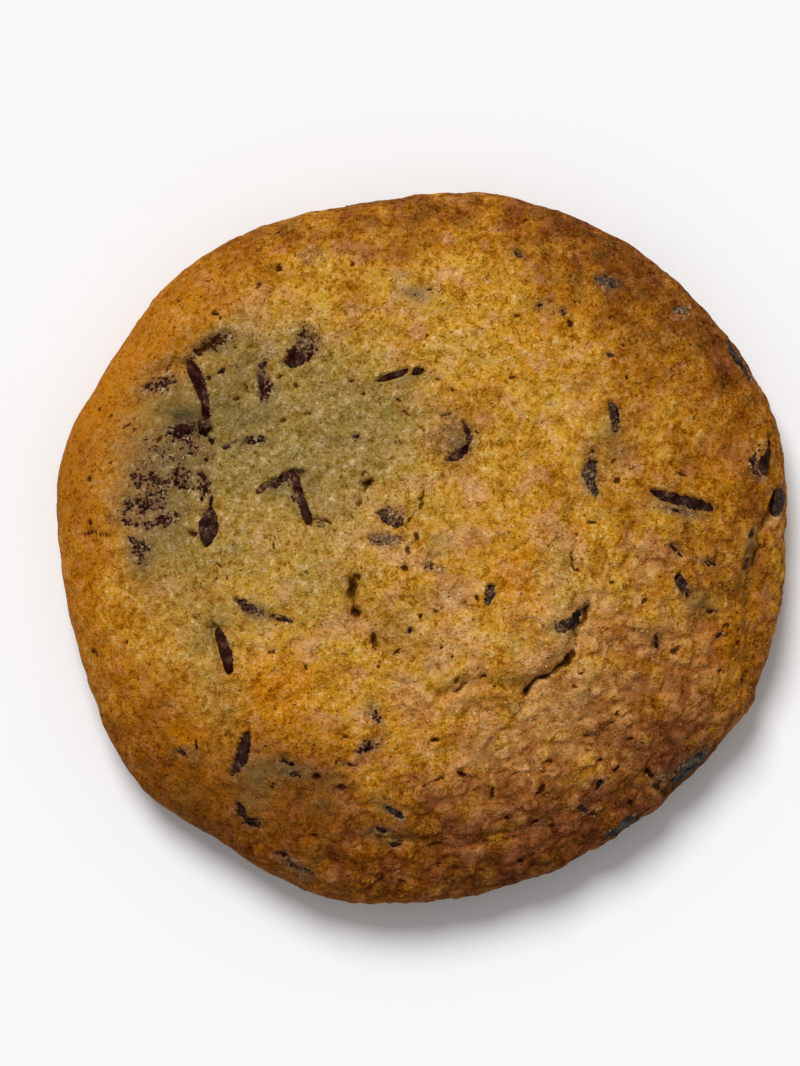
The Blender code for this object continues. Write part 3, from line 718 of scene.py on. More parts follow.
# Bits of chocolate too small for the model: x, y, length, width, turn
BITS = (
    (-26.2, 14.4, 2.0, 1.6, 80),
    (-25.3, 12.9, 1.0, 0.7, -40),
    (-29.1, 13.4, 0.9, 0.5, 85),
    (-30.3, 13.7, 0.8, 0.4, -20),
    (-27.4, 13.3, 0.5, 0.4, 0),
    (-27.7, 11.2, 0.9, 0.35, 10),
    (-25.9, 10.6, 0.5, 0.45, 0),
    (-23.5, 12.1, 0.9, 0.6, 20),
    (-22.5, 12.7, 0.8, 0.4, 30),
    (-20.9, 12.9, 1.0, 0.6, 0),
    (-19.4, 12.9, 1.0, 0.6, -20),
    (-33.0, 19.4, 0.9, 0.5, 35),
    (-30.0, 19.9, 1.7, 0.4, 15),
    (-24.0, 21.1, 1.3, 0.5, 35),
    (-25.4, 20.3, 0.6, 0.5, 0),
    (-29.4, 8.9, 1.2, 0.7, 55),
    (-31.8, 8.0, 1.5, 1.2, -40),
    (-33.9, 7.4, 1.1, 0.7, 90),
    (-34.5, 8.7, 0.9, 0.5, -20),
    (-28.3, 7.4, 1.2, 0.8, 0),
    (-27.4, 7.2, 0.5, 0.4, 0),
    (-26.3, 8.6, 1.6, 0.7, -40),
    (-25.5, 7.7, 1.0, 0.6, -60),
    (-26.2, 5.9, 0.9, 0.4, -60),
    (-25.2, 5.6, 1.2, 0.5, 80),
    (-34.0, 5.4, 0.9, 0.5, 90),
    (-33.0, 5.0, 1.3, 0.9, 0),
    (-33.9, 2.7, 0.8, 0.6, 0),
    (-32.9, 2.8, 0.6, 0.5, 0),
    (-36.7, 3.5, 0.7, 0.5, 110),
    (-35.2, 5.2, 1.2, 0.35, 0),
    (-34.6, 1.0, 1.3, 0.4, -60),
    (-33.5, 0.5, 1.3, 0.5, 0),
    (-32.6, -0.2, 0.7, 0.4, -40),
    (-30.6, 2.6, 0.8, 0.4, 30),
    (-0.4, 21.2, 1.0, 0.9, 0),
    (-7.8, 13.3, 0.9, 0.5, 15),
    (-14.3, 34.5, 0.9, 0.4, 0),
    (11.5, 35.1, 1.4, 0.9, -25),
    (14.1, 28.9, 0.6, 0.5, 0),
    (16.8, 27.9, 0.7, 0.4, 110),
    (22.3, 23.0, 1.0, 0.8, -30),
    (20.2, 11.6, 0.6, 0.5, 0),
    (20.3, 10.1, 1.4, 0.4, 0),
    (30.2, -0.2, 2.2, 0.45, -45),
    (34.5, -1.7, 1.4, 0.5, -25),
    (38.9, -1.9, 1.4, 0.8, 80),
    (39.3, 1.6, 1.1, 0.8, 0),
    (27.9, -11.2, 1.8, 0.5, 88),
    (35.5, -10.4, 0.8, 0.4, 30),
    (21.2, -28.4, 1.5, 0.5, 72),
    (19.3, -31.4, 1.5, 0.6, -50),
    (20.5, -32.1, 1.0, 0.5, 0),
    (28.4, -28.9, 1.9, 0.5, -45),
    (-1.5, -9.8, 0.9, 0.6, 60),
    (-16.3, -8.5, 2.2, 0.5, -12),
    (-28.8, -24.4, 1.3, 0.8, -20),
    (-15.2, -27.0, 1.0, 0.6, -15),
    (-16.0, -25.6, 1.7, 0.5, -25),
    (-20.2, -33.0, 1.6, 1.0, 20),
    (-4.9, -33.9, 1.4, 0.5, -15),
    (-3.0, -35.6, 1.4, 0.45, 0),
    (-13.3, -39.0, 1.3, 0.6, -20),
    (-16.6, -36.7, 1.6, 0.5, -10),
    (-15.4, -38.0, 1.9, 0.45, -35),
    (39.6, 10.2, 0.9, 0.7, 80),
)
BIT_RECESS = 0.14
BIT_POCKET = 0.6


# ---------------------------------------------------------------- colour zones of the dough

# Browner or paler spots: middle x and y, half-lengths, turn, amount
BROWNED = (
    (-33, 17, 6, 5, 0, 0.12),
    (-31, 26, 5, 13, -45, 0.20),
    (-41, 9, 4, 9, 0, 0.24),
    (-18, -24, 9, 6, 0, 0.16),
    (-24, -27, 12, 7, -40, 0.08),
    (-25, 17, 5, 5, 0, 0.08),
    (-40, -12, 5, 8, 20, 0.06),
    (7, 18, 4, 5, 0, 0.10),
    (12, -7, 5, 5, 0, -0.16),
    (7, -19, 5, 3, 0, -0.12),
    (25, -13, 5, 4, 0, -0.10),
    (-12, 1, 5, 3, 0, -0.10),
    (3, 15, 4, 4, 0, 0.12),
    # This spot and the veil at the same place darken the hollow beside the lump over a hidden chunk: painted shade
    (4.6, 12.6, 1.6, 1.8, 0, 0.25),
    (10, -11, 5, 3, 0, -0.12),
    (25, -5, 4, 4, 0, -0.12),
    (-35, -9, 3, 4, 0, -0.16),
    (-11, -27, 3, 3, 0, 0.10),
    (-24, 27, 4, 3, 0, -0.08),
    (34, 4, 12, 24, 0, 0.18),
    (28, -24, 16, 12, -40, 0.17),
    # The south rim's spot is partly browning and partly painted shade, for the rim sloping away from the light
    (4, -34, 34, 9, 0, 0.31),
    (-30, -26, 15, 11, -40, 0.20),
    (5, 39, 24, 6, 0, 0.16),
    (30, 26, 10, 12, 40, 0.10),
    (2, -2, 14, 12, 0, 0.02),
    (2, 26, 16, 8, 0, -0.05),
    (-14, -8, 14, 7, 20, -0.04),
    (-14, 10, 16, 10, 0, -0.06),
    (15, -20, 14, 5, 20, -0.06),
    (-28.2, -21.6, 1.8, 1.4, -30, 0.25),
    (0, -5.6, 3, 2, 0, 0.12),
    (14, -7, 6, 7, 0, -0.12),
    (-10, -29, 10, 6, 0, 0.08),
    (27, -31, 7, 4, 35, -0.16),
    (37, -22, 5, 6, 45, -0.14),
    (43, -2, 3, 8, 0, -0.16),
    (22, 31, 8, 8, 0, 0.24),
)

# Khaki dough of the sunken basin and other pale patches
PALE = (
    (-29, -5, 6, 7, 0, 0.50),
    (-24, -18, 3, 4, 0, 0.45),
    (-3, -10, 3, 3, 0, 0.40),
    (-15, 10, 13, 10, -15, 0.9),
    (-27, 15, 7, 9, 0, 0.7),
    (-20, 24, 6, 4, 10, 0.5),
    (-11, 22, 7, 4, 0, 0.35),
    (-32, 6, 5, 8, 0, 0.45),
    (-4, 16, 9, 5, -15, 0.55),
    (22, 12, 3, 4, 0, 0.35),
    (-13, -5, 6, 4, 20, 0.45),
    (-31, 1, 3, 4, 0, 0.45),
    (-25, -12, 3, 3, -30, 0.35),
    (-23, -1, 4, 3, 0, 0.45),
    (17, -3, 2.5, 4, 0, 0.35),
    (18, -18, 4, 2, 20, 0.2),
    (-24, 25, 3, 2, 20, 0.4),
)

# Warm, saturated crust
GLOWING = (
    (-40, 2, 8, 24, 4, 0.66),
    (-31, 25, 6, 14, -45, 0.8),
    (-17, -17, 5, 5, 0, 0.6),
    (11.5, -4.5, 3.4, 5, 0, 1.0),
    (-28, -21.6, 2.4, 1.8, -20, 1.0),
    (-16, -17, 3, 3, 0, 0.7),
    (4, -4, 11, 9, 0, 0.16),
    (19, 2.4, 1.2, 1.6, 0, 0.8),
    (21.6, -8.4, 2.4, 1.6, -20, 0.7),
    (0, -21, 10, 4, 10, 0.5),
    (-24, -28, 14, 8, -40, 0.32),
    (15, 26, 5, 3, 20, 0.35),
    (36, -12, 4, 4, 0, 0.5),
    (36, 10, 4, 6, 0, 0.35),
)

# Grey-olive dough, stained by the fat of chocolate under it
VEILED = (
    (-23.0, 16.0, 3.0, 4.0, 0, 0.45),
    # This spot darkens the hollow beside the lump over a hidden chunk: painted shade
    (4.6, 12.8, 1.6, 1.8, 0, 0.60),
    (-23.5, -8.6, 2.8, 2.4, 0, 0.40),
    (-10.6, -27.6, 3.0, 1.6, -10, 0.35),
    (-30.0, 8.0, 5.0, 4.0, 0, 0.25),
    (-29.6, 18.0, 3.4, 3.0, 20, 0.60),
    (-22.0, 22.0, 3.0, 4.0, 20, 0.35),
    (-34.6, 14.0, 2.4, 5.0, -20, 0.25),
    (-31.0, 11.0, 4.4, 4.0, 0, 0.40),
    (-31.5, 3.5, 4.8, 4.5, 0, 0.42),
    (-28.2, 15.2, 2.2, 1.3, 10, 1.0),
    (-24.6, 24.0, 1.6, 1.0, 30, 0.5),
    (-18.0, 17.2, 1.5, 2.6, 0, 0.5),
    (-17.0, 7.0, 2.0, 0.9, 15, 0.7),
    (-13.0, 7.6, 0.9, 1.8, 20, 0.4),
    (-33.2, -1.8, 1.6, 2.6, 0, 0.6),
    (-31.4, 5.3, 1.0, 0.8, 0, 0.7),
    (-35.0, 6.0, 1.6, 1.2, 0, 0.3),
    (-19.2, -7.9, 1.8, 1.5, 0, 0.75),
    (-26.4, -10.6, 1.0, 2.0, -30, 0.4),
    (-1.6, 20.1, 2.6, 0.9, 10, 0.6),
    (-0.8, 30.4, 2.6, 1.4, -10, 0.7),
    (2.4, 0.2, 1.6, 1.2, -20, 0.5),
    (19.8, 8.8, 1.0, 2.0, 0, 0.6),
    (22.6, 14.0, 1.4, 1.6, 0, 0.5),
    (30.6, 4.6, 3.6, 1.1, -14, 0.8),
    (33.2, -6.6, 2.0, 1.6, -20, 0.7),
    (27.9, -10.2, 1.6, 1.2, 0, 0.3),
    (-19.4, -26.8, 3.0, 2.6, -20, 0.70),
    (-15.6, -26.2, 2.6, 1.0, -15, 0.6),
    (-20.4, -30.4, 1.8, 1.4, -30, 0.5),
    (-12.4, -30.4, 2.4, 1.6, 0, 0.25),
    (-4.6, -34.2, 2.6, 1.2, -10, 0.7),
    (-4.4, -31.0, 2.0, 0.8, -30, 0.6),
    (-14.6, -38.6, 2.2, 0.9, -20, 0.6),
    (7.8, -24.8, 2.0, 0.9, 15, 0.45),
    (14.6, 28.6, 2.2, 0.9, -10, 0.45),
    (22.0, 31.4, 1.6, 0.9, 0, 0.5),
    (-6.2, -18.4, 1.2, 1.2, 0, 0.4),
    (39.5, 0.4, 1.2, 3.2, 0, 0.6),
    (31.6, -27.4, 2.6, 1.4, 42, 0.6),
    (-27.0, -24.6, 1.0, 1.0, 0, 0.5),
    (0.9, -13.6, 1.8, 1.0, 0, 0.35),
    (-11.0, 12.9, 2.6, 0.7, 0, 0.3),
    (17.0, -9.0, 2.0, 1.6, 30, 0.4),
    (24.6, -33.6, 3.0, 0.7, 33, 0.3),
)

# Grainy chocolate smeared into the dough
SMEARED = (
    (-19.6, -7.6, 2.4, 0.9, -18, 0.30),
    (-3.4, 4.0, 1.7, 1.3, -20, 0.60),
    (-4.3, 1.0, 2.4, 1.0, -4, 0.62),
    (-31.0, 8.5, 4.6, 4.6, 0, 0.20),
    (-30.0, 4.2, 5.0, 3.0, 0, 0.20),
    (-29.0, 12.6, 4.0, 2.6, 0, 0.18),
    (-31.6, 19.6, 3.0, 1.8, 20, 0.24),
    (-24.4, 24.6, 2.6, 1.4, 25, 0.22),
    (-18.6, 19.6, 1.6, 3.0, 0, 0.18),
    (-33.4, -1.0, 2.0, 3.0, 0, 0.20),
    (2.6, -5.8, 4.2, 2.6, 0, 0.22),
    (10.8, -10.4, 0.9, 1.0, 0, 0.22),
    (-31.6, 19.4, 2.4, 1.2, 20, 0.40),
    (-28.6, 14.4, 1.8, 0.8, 10, 0.62),
    (-31.0, 11.5, 4.0, 3.4, 0, 0.14),
    (-27.0, 12.4, 2.2, 1.0, -20, 0.40),
    (-33.4, 8.0, 2.2, 1.5, -20, 0.34),
    (-29.0, 8.0, 2.0, 1.2, 30, 0.32),
    (-25.9, 7.4, 1.1, 2.2, 20, 0.44),
    (-33.2, 5.2, 1.8, 1.3, 0, 0.32),
    (-35.4, 4.0, 1.8, 1.6, -20, 0.28),
    (-33.4, 2.8, 2.0, 0.8, 0, 0.22),
    (-33.4, -0.8, 1.1, 1.7, 10, 0.50),
    (-30.4, 3.0, 1.4, 1.0, 30, 0.38),
    (-26.4, 23.6, 2.4, 0.7, 34, 0.58),
    (-23.8, 24.8, 2.0, 1.0, 20, 0.40),
    (-20.2, 12.9, 1.9, 0.8, 0, 0.60),
    (-18.8, 19.2, 0.9, 2.0, 0, 0.50),
    (-13.6, 24.9, 2.1, 2.3, 20, 0.56),
    (31.0, 4.3, 3.8, 0.7, -14, 0.40),
    (-17.3, 7.5, 2.0, 0.5, 22, 0.50),
    (-14.8, 8.9, 1.2, 0.8, 0, 0.50),
    (-12.2, 2.9, 1.5, 0.6, -10, 0.42),
    (-22.8, 0.1, 1.4, 0.5, 15, 0.35),
    (-20.8, -7.0, 1.6, 0.8, -20, 0.50),
    (1.7, -2.3, 1.9, 0.7, -15, 0.50),
    (0.7, -0.6, 0.9, 0.9, 0, 0.35),
    (3.2, 13.4, 2.4, 2.4, 0, 0.30),
    (4.5, 11.4, 1.6, 0.7, 35, 0.55),
    (20.1, 9.4, 1.0, 3.0, 0, 0.50),
    (16.6, -9.3, 1.6, 1.1, 0, 0.55),
    (-5.6, -19.8, 0.8, 1.6, 35, 0.62),
    (-6.2, -23.6, 1.9, 0.8, 28, 0.90),
    (-9.0, -25.8, 1.5, 0.5, 0, 0.42),
    (-13.0, 34.6, 2.0, 1.2, 10, 0.42),
    (-21.2, 27.7, 1.0, 0.7, 0, 0.38),
    (-21.9, -26.0, 0.7, 1.8, -10, 0.50),
    (-14.8, -26.6, 2.4, 0.8, -15, 0.46),
    (-15.6, -37.6, 2.6, 0.9, -30, 0.52),
    (-28.4, -24.2, 1.4, 0.8, -10, 0.45),
    (28.2, -27.6, 1.6, 1.2, -50, 0.42),
    (31.6, -26.6, 2.4, 1.0, 45, 0.50),
    (24.4, -33.4, 2.8, 0.5, 33, 0.50),
    (39.2, -1.0, 0.7, 2.4, 0, 0.40),
    (40.2, 9.6, 1.2, 1.8, 0, 0.55),
    (33.6, -1.7, 1.6, 0.5, -20, 0.42),
    (-0.9, 30.2, 1.4, 0.6, -10, 0.42),
)


def zone(skin, spots):
    """Sum of soft spots over the top of the skin, held between 0 and 1."""
    total = sum(amount * blob(skin.x, skin.y, *place) for *place, amount in spots)
    return np.clip(total, 0, 1) * (skin.height > 0)


def browning(skin):
    """How far each place has baked, from 0, pale, to 1, dark."""
    rim = smooth_step(0.74, 1.0, skin.share) * (skin.height > 0)
    spots = sum(amount * blob(skin.x, skin.y, *place) for *place, amount in BROWNED)
    heel = smooth_step(RIM_HEIGHT, 0.5, skin.height) * 0.12
    mottle = 0.09 * skin.lumps(7.0, 51) + 0.06 * skin.lumps(2.5, 52)
    return np.clip(0.40 + 0.20 * rim + spots + heel + mottle, 0, 1)


def stain(skin, spots):
    """Soft spots that fade out down the side."""
    return zone(skin, spots) * smooth_step(1.0, 4.0, skin.height)


def smear(skin, near, film):
    """Share of chocolate grains in the dough at each point."""
    ragged = 1 + 0.6 * skin.lumps(1.3, 61) + 0.3 * skin.lumps(0.6, 62)
    spots = stain(skin, SMEARED) * ragged
    return np.clip(np.maximum(spots, np.maximum(0.28 * near, 0.24 * film) * ragged), 0, 1)


def crags(skin):
    """How cracked the crust is at each point."""
    return np.clip(crag_weight(skin.x, skin.y) + 0.2 * skin.lumps(5.0, 63), 0, 1)


# ---------------------------------------------------------------- making meshes


def add_object(name, mesh_data):
    """An object in the scene from a bmesh, which it frees."""
    mesh = bpy.data.meshes.new(name)
    mesh_data.to_mesh(mesh)
    mesh_data.free()
    return link_mesh(name, mesh)


def link_mesh(name, mesh):
    """An object in the scene from a mesh, shaded smooth."""
    item = bpy.data.objects.new(name, mesh)
    bpy.context.scene.collection.objects.link(item)
    mesh.shade_smooth()
    return item


def dress(item, material, slot, *nodes):
    """Gives a piece its material, hangs it from the root, and hides the model's nodes that it stands for."""
    item.data.materials.append(material)
    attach(item, "root")
    if nodes:
        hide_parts(*nodes)


def set_points(mesh, places):
    """Moves a mesh's points to the places given in millimetres."""
    mesh.vertices.foreach_set("co", (places * MM).astype(np.float32).ravel())
    mesh.update()


def set_attribute(mesh, name, values):
    """Stores one number for each point of a mesh."""
    layer = mesh.attributes.new(name, "FLOAT", "POINT")
    layer.data.foreach_set("value", np.asarray(values, np.float32))


def ball_of(subdivisions, cuts=0):
    """A round ball of triangles."""
    ball = bmesh.new()
    bmesh.ops.create_icosphere(ball, subdivisions=subdivisions, radius=1)
    if cuts:
        bmesh.ops.subdivide_edges(ball, edges=ball.edges[:], cuts=cuts, use_grid_fill=True)
        bmesh.ops.triangulate(ball, faces=ball.faces[:])
    return ball


def set_bake_map(mesh, above, bearing, is_base):
    """Two round islands: the top with the side, and the base."""
    stations, shares, heights = meridian()
    run = np.hypot(np.diff(shares) * RIM_RADIUS, np.diff(heights))
    travelled = np.concatenate([[0], np.cumsum(run)])
    edge = travelled[-60]
    arc = np.interp(above, stations, travelled)
    layer = mesh.uv_layers.new(name="OFBake")
    corners = np.empty(len(mesh.loops), np.int32)
    mesh.loops.foreach_get("vertex_index", corners)
    on_base = np.repeat(is_base[corners].reshape(-1, 3).all(axis=1), 3)
    top_radius = 0.40 * arc / edge
    base_radius = 0.186 * (travelled[-1] - arc) / (travelled[-1] - edge)
    radius = np.where(on_base, base_radius[corners], top_radius[corners])
    middle = np.where(on_base, 0.806, 0.405)
    turn = bearing[corners]
    places = np.stack([middle + radius * np.cos(turn), middle + radius * np.sin(turn)], axis=1)
    layer.data.foreach_set("uv", places.astype(np.float32).ravel())


def make_dough(material):
    """The dense dough, with its relief and the fields that colour it; gives its skin too."""
    ball = ball_of(BALL_SUBDIVISIONS, BALL_CUTS)
    ways = np.array([vertex.co.normalized() for vertex in ball.verts])
    above = (1 - ways[:, 2]) / 2
    bearing = np.arctan2(ways[:, 1], ways[:, 0])
    skin = Skin(above, bearing)
    windows, near, film = window_fields(skin)
    cracks, crack_shade = crack_fields(skin)
    holes, hole_shade = pit_fields(skin)
    crumb, seam_shade = crumb_relief(skin)
    deep = np.maximum(windows, np.maximum(cracks, holes))
    skin.raise_by(crumb)
    points = skin.points - skin.ways * (deep * skin.lift)[:, None]
    points[:, 2] = np.maximum(points[:, 2], 0)
    item = add_object("cookie_dough", ball)
    set_points(item.data, points)
    # pit and seam hold painted shade for the cracks, holes, dimples and seams
    set_attribute(item.data, "pit", np.maximum(crack_shade, hole_shade))
    set_attribute(item.data, "seam", seam_shade)
    set_attribute(item.data, "smear", smear(skin, near, film))
    set_attribute(item.data, "crag", crags(skin))
    set_attribute(item.data, "browning", browning(skin))
    set_attribute(item.data, "pale", zone(skin, PALE))
    set_attribute(item.data, "glow", zone(skin, GLOWING))
    set_attribute(item.data, "veil", stain(skin, VEILED))
    set_bake_map(item.data, above, bearing, skin.is_base)
    dress(item, material, "dough", "dough")
    return item, skin


def make_chunk(name, skin, material):
    """One chocolate piece, from its node: sunk to its depth, then roughened as it melted."""
    surface = bmesh.new()
    surface.from_mesh(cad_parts[name].data)
    bmesh.ops.remove_doubles(surface, verts=surface.verts[:], dist=1e-6)
    item = add_object(name + "_chocolate", surface)
    rounding = item.modifiers.new("round", "SUBSURF")
    rounding.levels = rounding.render_levels = 2
    bake_modifiers(item)
    places = np.array([vertex.co for vertex in item.data.vertices]) / MM
    ways = np.array([vertex.normal for vertex in item.data.vertices])
    seed = sum(ord(letter) * place for place, letter in enumerate(name)) % 97
    places = sink(places, skin, SETTINGS[name][0], seed)
    rough = 0.05 + 0.14 * lumps(*places.T, 0.9, seed + 1) + 0.07 * lumps(*places.T, 0.35, seed + 2)
    set_points(item.data, places + ways * rough[:, None])
    set_attribute(item.data, "dust", dust_share(name, places))
    set_attribute(item.data, "bloom_and_sheen", np.full(len(places), SETTINGS[name][-1]))
    dress(item, material, "chocolate", name)
    return item


def sink(places, skin, recess, seed):
    """Presses a piece's top down under the dough's skin, unevenly."""
    wave = 0.16 * lumps(*places.T, 1.6, seed)
    for number, place in enumerate(places):
        near, index, _away = skin.tree.find(place)
        way = skin.ways[index]
        height = (place - np.array(near)).dot(way)
        top = -recess + wave[number]
        if height > top:
            places[number] = place - way * (height - top) * 0.9
    return places


def bake_modifiers(item):
    """Applies an object's modifiers to its mesh."""
    graph = bpy.context.evaluated_depsgraph_get()
    mesh = bpy.data.meshes.new_from_object(item.evaluated_get(graph))
    item.modifiers.clear()
    item.data = mesh
    mesh.shade_smooth()


def grain_mesh(name, shape, places, turns, sizes):
    """One mesh of many copies of a small shape, each turned and stretched its own way."""
    corners = np.array([vertex.co for vertex in shape.verts])
    faces = np.array([[vertex.index for vertex in face.verts] for face in shape.faces])
    copies = [
        (corners * size) @ np.array(Euler(turn).to_matrix()).T + place
        for place, turn, size in zip(places, turns, sizes)
    ]
    points = np.concatenate(copies)
    count = len(copies)
    steps = np.repeat(np.arange(count) * len(corners), len(faces))[:, None]
    mesh = bpy.data.meshes.new(name)
    mesh.from_pydata((points * MM).tolist(), [], (np.tile(faces, (count, 1)) + steps).tolist())
    shape.free()
    return mesh


CRUMB_COUNT = 8000
CRUMB_RADIUS = 0.08
CRUMB_SPREAD = 0.14


def read_attribute(mesh, name):
    """The numbers stored for a mesh's points."""
    values = np.empty(len(mesh.vertices), np.float32)
    mesh.attributes[name].data.foreach_get("value", values)
    return values


def scatter_over(mesh, count, draw, keep):
    """Places over a mesh's faces, by area and by a weight for each point: point, place, way out."""
    mesh.calc_loop_triangles()
    corners = np.empty(len(mesh.loop_triangles) * 3, np.int32)
    mesh.loop_triangles.foreach_get("vertices", corners)
    points = np.empty(len(mesh.vertices) * 3)
    mesh.vertices.foreach_get("co", points)
    faces = corners.reshape(-1, 3)
    ends = points.reshape(-1, 3)[faces] / MM
    across = np.cross(ends[:, 1] - ends[:, 0], ends[:, 2] - ends[:, 0])
    area = np.linalg.norm(across, axis=1)
    weight = area * keep[faces].mean(axis=1)
    chosen = draw.choice(len(faces), count, p=weight / weight.sum())
    shares = draw.dirichlet((1, 1, 1), count)
    places = (ends[chosen] * shares[:, :, None]).sum(axis=1)
    return faces[chosen, 0], places, across[chosen] / area[chosen, None]


def make_crumbs(dough, skin, material):
    """Loose grains of dough and sugar that stand out of the crust, clear of holes and chocolate."""
    draw = np.random.default_rng(SEED)
    smooth = blob(skin.x, skin.y, -41, 0, 9, 26, 0)
    bare = (read_attribute(dough.data, "pit") < 0.15) & (read_attribute(dough.data, "smear") < 0.4)
    keep = (skin.ways[:, 2] > 0.25) * skin.is_top * bare * (1 - 0.6 * smooth)
    near, places, ways = scatter_over(dough.data, CRUMB_COUNT, draw, keep)
    sizes = (CRUMB_RADIUS + CRUMB_SPREAD * draw.random(CRUMB_COUNT) ** 2)[:, None]
    stretched = sizes * draw.uniform(0.7, 1.4, (CRUMB_COUNT, 3))
    places = places - ways * sizes * 0.35
    turns = draw.uniform(0, 2 * math.pi, (CRUMB_COUNT, 3))
    shape = ball_of(1)
    corner_count = len(shape.verts)
    mesh = grain_mesh("dough_crumbs", shape, places, turns, stretched)
    item = link_mesh("dough_crumbs", mesh)
    for name in ("browning", "pale", "glow", "veil", "smear", "crag"):
        set_attribute(mesh, name, np.repeat(read_attribute(dough.data, name)[near], corner_count))
    set_attribute(mesh, "luck", np.repeat(draw.random(CRUMB_COUNT), corner_count))
    dress(item, material, "dough")


def make_bits(skin, material):
    """The bits of chocolate too small for the model, as one mesh."""
    draw = np.random.default_rng(SEED + 1)
    whole = bmesh.new()
    for x, y, length, width, turn in BITS:
        place, way = skin.under(x, y)
        bit = ball_of(3)
        seed = int(draw.integers(1000))
        thick = 0.7 * width + 0.25
        tilt = Vector((0, 0, 1)).rotation_difference(way)
        for vertex in bit.verts:
            offset = Vector((seed, 0, 0))
            rough = 1 + 0.5 * noise.noise(vertex.co * 1.6 + offset) + 0.35 * noise.noise(vertex.co * 3.7 + offset)
            spot = Vector((vertex.co.x * length, vertex.co.y * width, vertex.co.z * thick)) * rough / 2
            spot.rotate(Euler((0, 0, math.radians(turn))))
            spot.rotate(tilt)
            vertex.co = (spot + place - way * (BIT_RECESS + thick / 2)) * MM
        part = bpy.data.meshes.new("bit")
        bit.to_mesh(part)
        bit.free()
        whole.from_mesh(part)
        bpy.data.meshes.remove(part)
    item = add_object("chocolate_bits", whole)
    set_attribute(item.data, "dust", np.full(len(item.data.vertices), 0.16))
    set_attribute(item.data, "bloom_and_sheen", np.full(len(item.data.vertices), 0.08))
    dress(item, material, "chocolate")
    return item


# ---------------------------------------------------------------- materials


def tone(red, green, blue):
    """A colour from display values of 0 to 255."""
    return tuple((value / 255) ** 2.2 for value in (red, green, blue)) + (1,)


def add_node(tree, kind, inputs=(), **settings):
    """A node with its settings; each input is a value or another node's output."""
    item = tree.nodes.new(kind)
    for name, value in settings.items():
        setattr(item, name, value)
    for key, value in dict(inputs).items():
        if isinstance(value, bpy.types.NodeSocket):
            tree.links.new(value, item.inputs[key])
        else:
            item.inputs[key].default_value = value
    return item


def maths(tree, operation, first, second=0.0):
    """The result of one sum on two numbers."""
    return add_node(tree, "ShaderNodeMath", {0: first, 1: second}, operation=operation).outputs[0]


def blend(tree, share, first, second, way="MIX"):
    """The second colour laid over the first."""
    item = add_node(
        tree, "ShaderNodeMix", {0: share, 6: first, 7: second}, data_type="RGBA", blend_type=way
    )
    return item.outputs[2]


def span(tree, value, low, high, start=0.0, end=1.0):
    """A value carried from one range to another and held there."""
    inputs = {"Value": value, "From Min": low, "From Max": high, "To Min": start, "To Max": end}
    return add_node(tree, "ShaderNodeMapRange", inputs).outputs["Result"]


def ramp(tree, factor, stops):
    """A colour for each place along the ramp."""
    item = add_node(tree, "ShaderNodeValToRGB", {"Fac": factor})
    band = item.color_ramp
    while len(band.elements) < len(stops):
        band.elements.new(0.5)
    for element, (place, colour) in zip(band.elements, stops):
        element.position = place
        element.color = colour
    return item.outputs["Color"]


def speckle(tree, place, size, detail=2.0, rough=0.6, seed=0):
    """Noise with features of the given size in millimetres."""
    inputs = {"Vector": place, "Scale": 1 / size, "Detail": detail, "Roughness": rough, "W": seed * 3.7}
    return add_node(tree, "ShaderNodeTexNoise", inputs, noise_dimensions="4D").outputs["Fac"]


def field(tree, name):
    """A number stored in the mesh."""
    return add_node(tree, "ShaderNodeAttribute", attribute_name=name).outputs["Fac"]


def start_material(name, **sockets):
    """A material with its shader, and the place in millimetres."""
    material = bpy.data.materials.new(name)
    material.use_nodes = True
    tree = material.node_tree
    shader = tree.nodes["Principled BSDF"]
    for key, value in sockets.items():
        shader.inputs[key.replace("_", " ")].default_value = value
    place = add_node(tree, "ShaderNodeTexCoord").outputs["Object"]
    scaled = add_node(tree, "ShaderNodeMapping", {"Vector": place, "Scale": (1000, 1000, 1000)})
    return material, tree, shader, scaled.outputs["Vector"]


def finish_material(tree, shader, colour, roughness, height, strength, distance):
    """Links the colour, the roughness and the bump."""
    tree.links.new(colour, shader.inputs["Base Color"])
    tree.links.new(roughness, shader.inputs["Roughness"])
    inputs = {"Strength": strength, "Distance": distance, "Height": height}
    bump = add_node(tree, "ShaderNodeBump", inputs)
    tree.links.new(bump.outputs["Normal"], shader.inputs["Normal"])


CRUST = (
    (0.00, tone(212, 176, 88)),
    (0.20, tone(208, 162, 62)),
    (0.40, tone(202, 145, 42)),
    (0.58, tone(176, 114, 20)),
    (0.78, tone(134, 76, 10)),
    (1.00, tone(82, 38, 3)),
)
# Light grains, and CREAM below for pale dough: partly real pale crumb, partly painted highlight on the raised crumb
LIGHT_GRAINS_AND_HIGHLIGHTS = (
    (0.00, tone(246, 222, 184)),
    (0.40, tone(236, 194, 140)),
    (0.60, tone(204, 154, 106)),
    (0.80, tone(162, 112, 76)),
    (1.00, tone(114, 74, 48)),
)
CREAM = tone(218, 200, 160)
KHAKI = tone(148, 126, 70)
GLOW = tone(200, 124, 4)
ROSY = (
    (0.30, tone(210, 158, 106)),
    (0.50, tone(192, 136, 86)),
    (0.66, tone(162, 106, 66)),
    (0.84, tone(128, 76, 48)),
    (1.00, tone(84, 42, 24)),
)
STAIN = ((0.60, tone(98, 90, 58)), (0.85, tone(82, 78, 54)), (1.00, tone(56, 54, 42)))
# Painted shade for the low crumb
VALLEY_SHADE = tone(196, 172, 50)
# Painted shade for the seams between plates
GROOVE_SHADE = tone(186, 146, 62)
PALE_GRAIN = tone(198, 168, 134)
HAZE = tone(114, 84, 62)
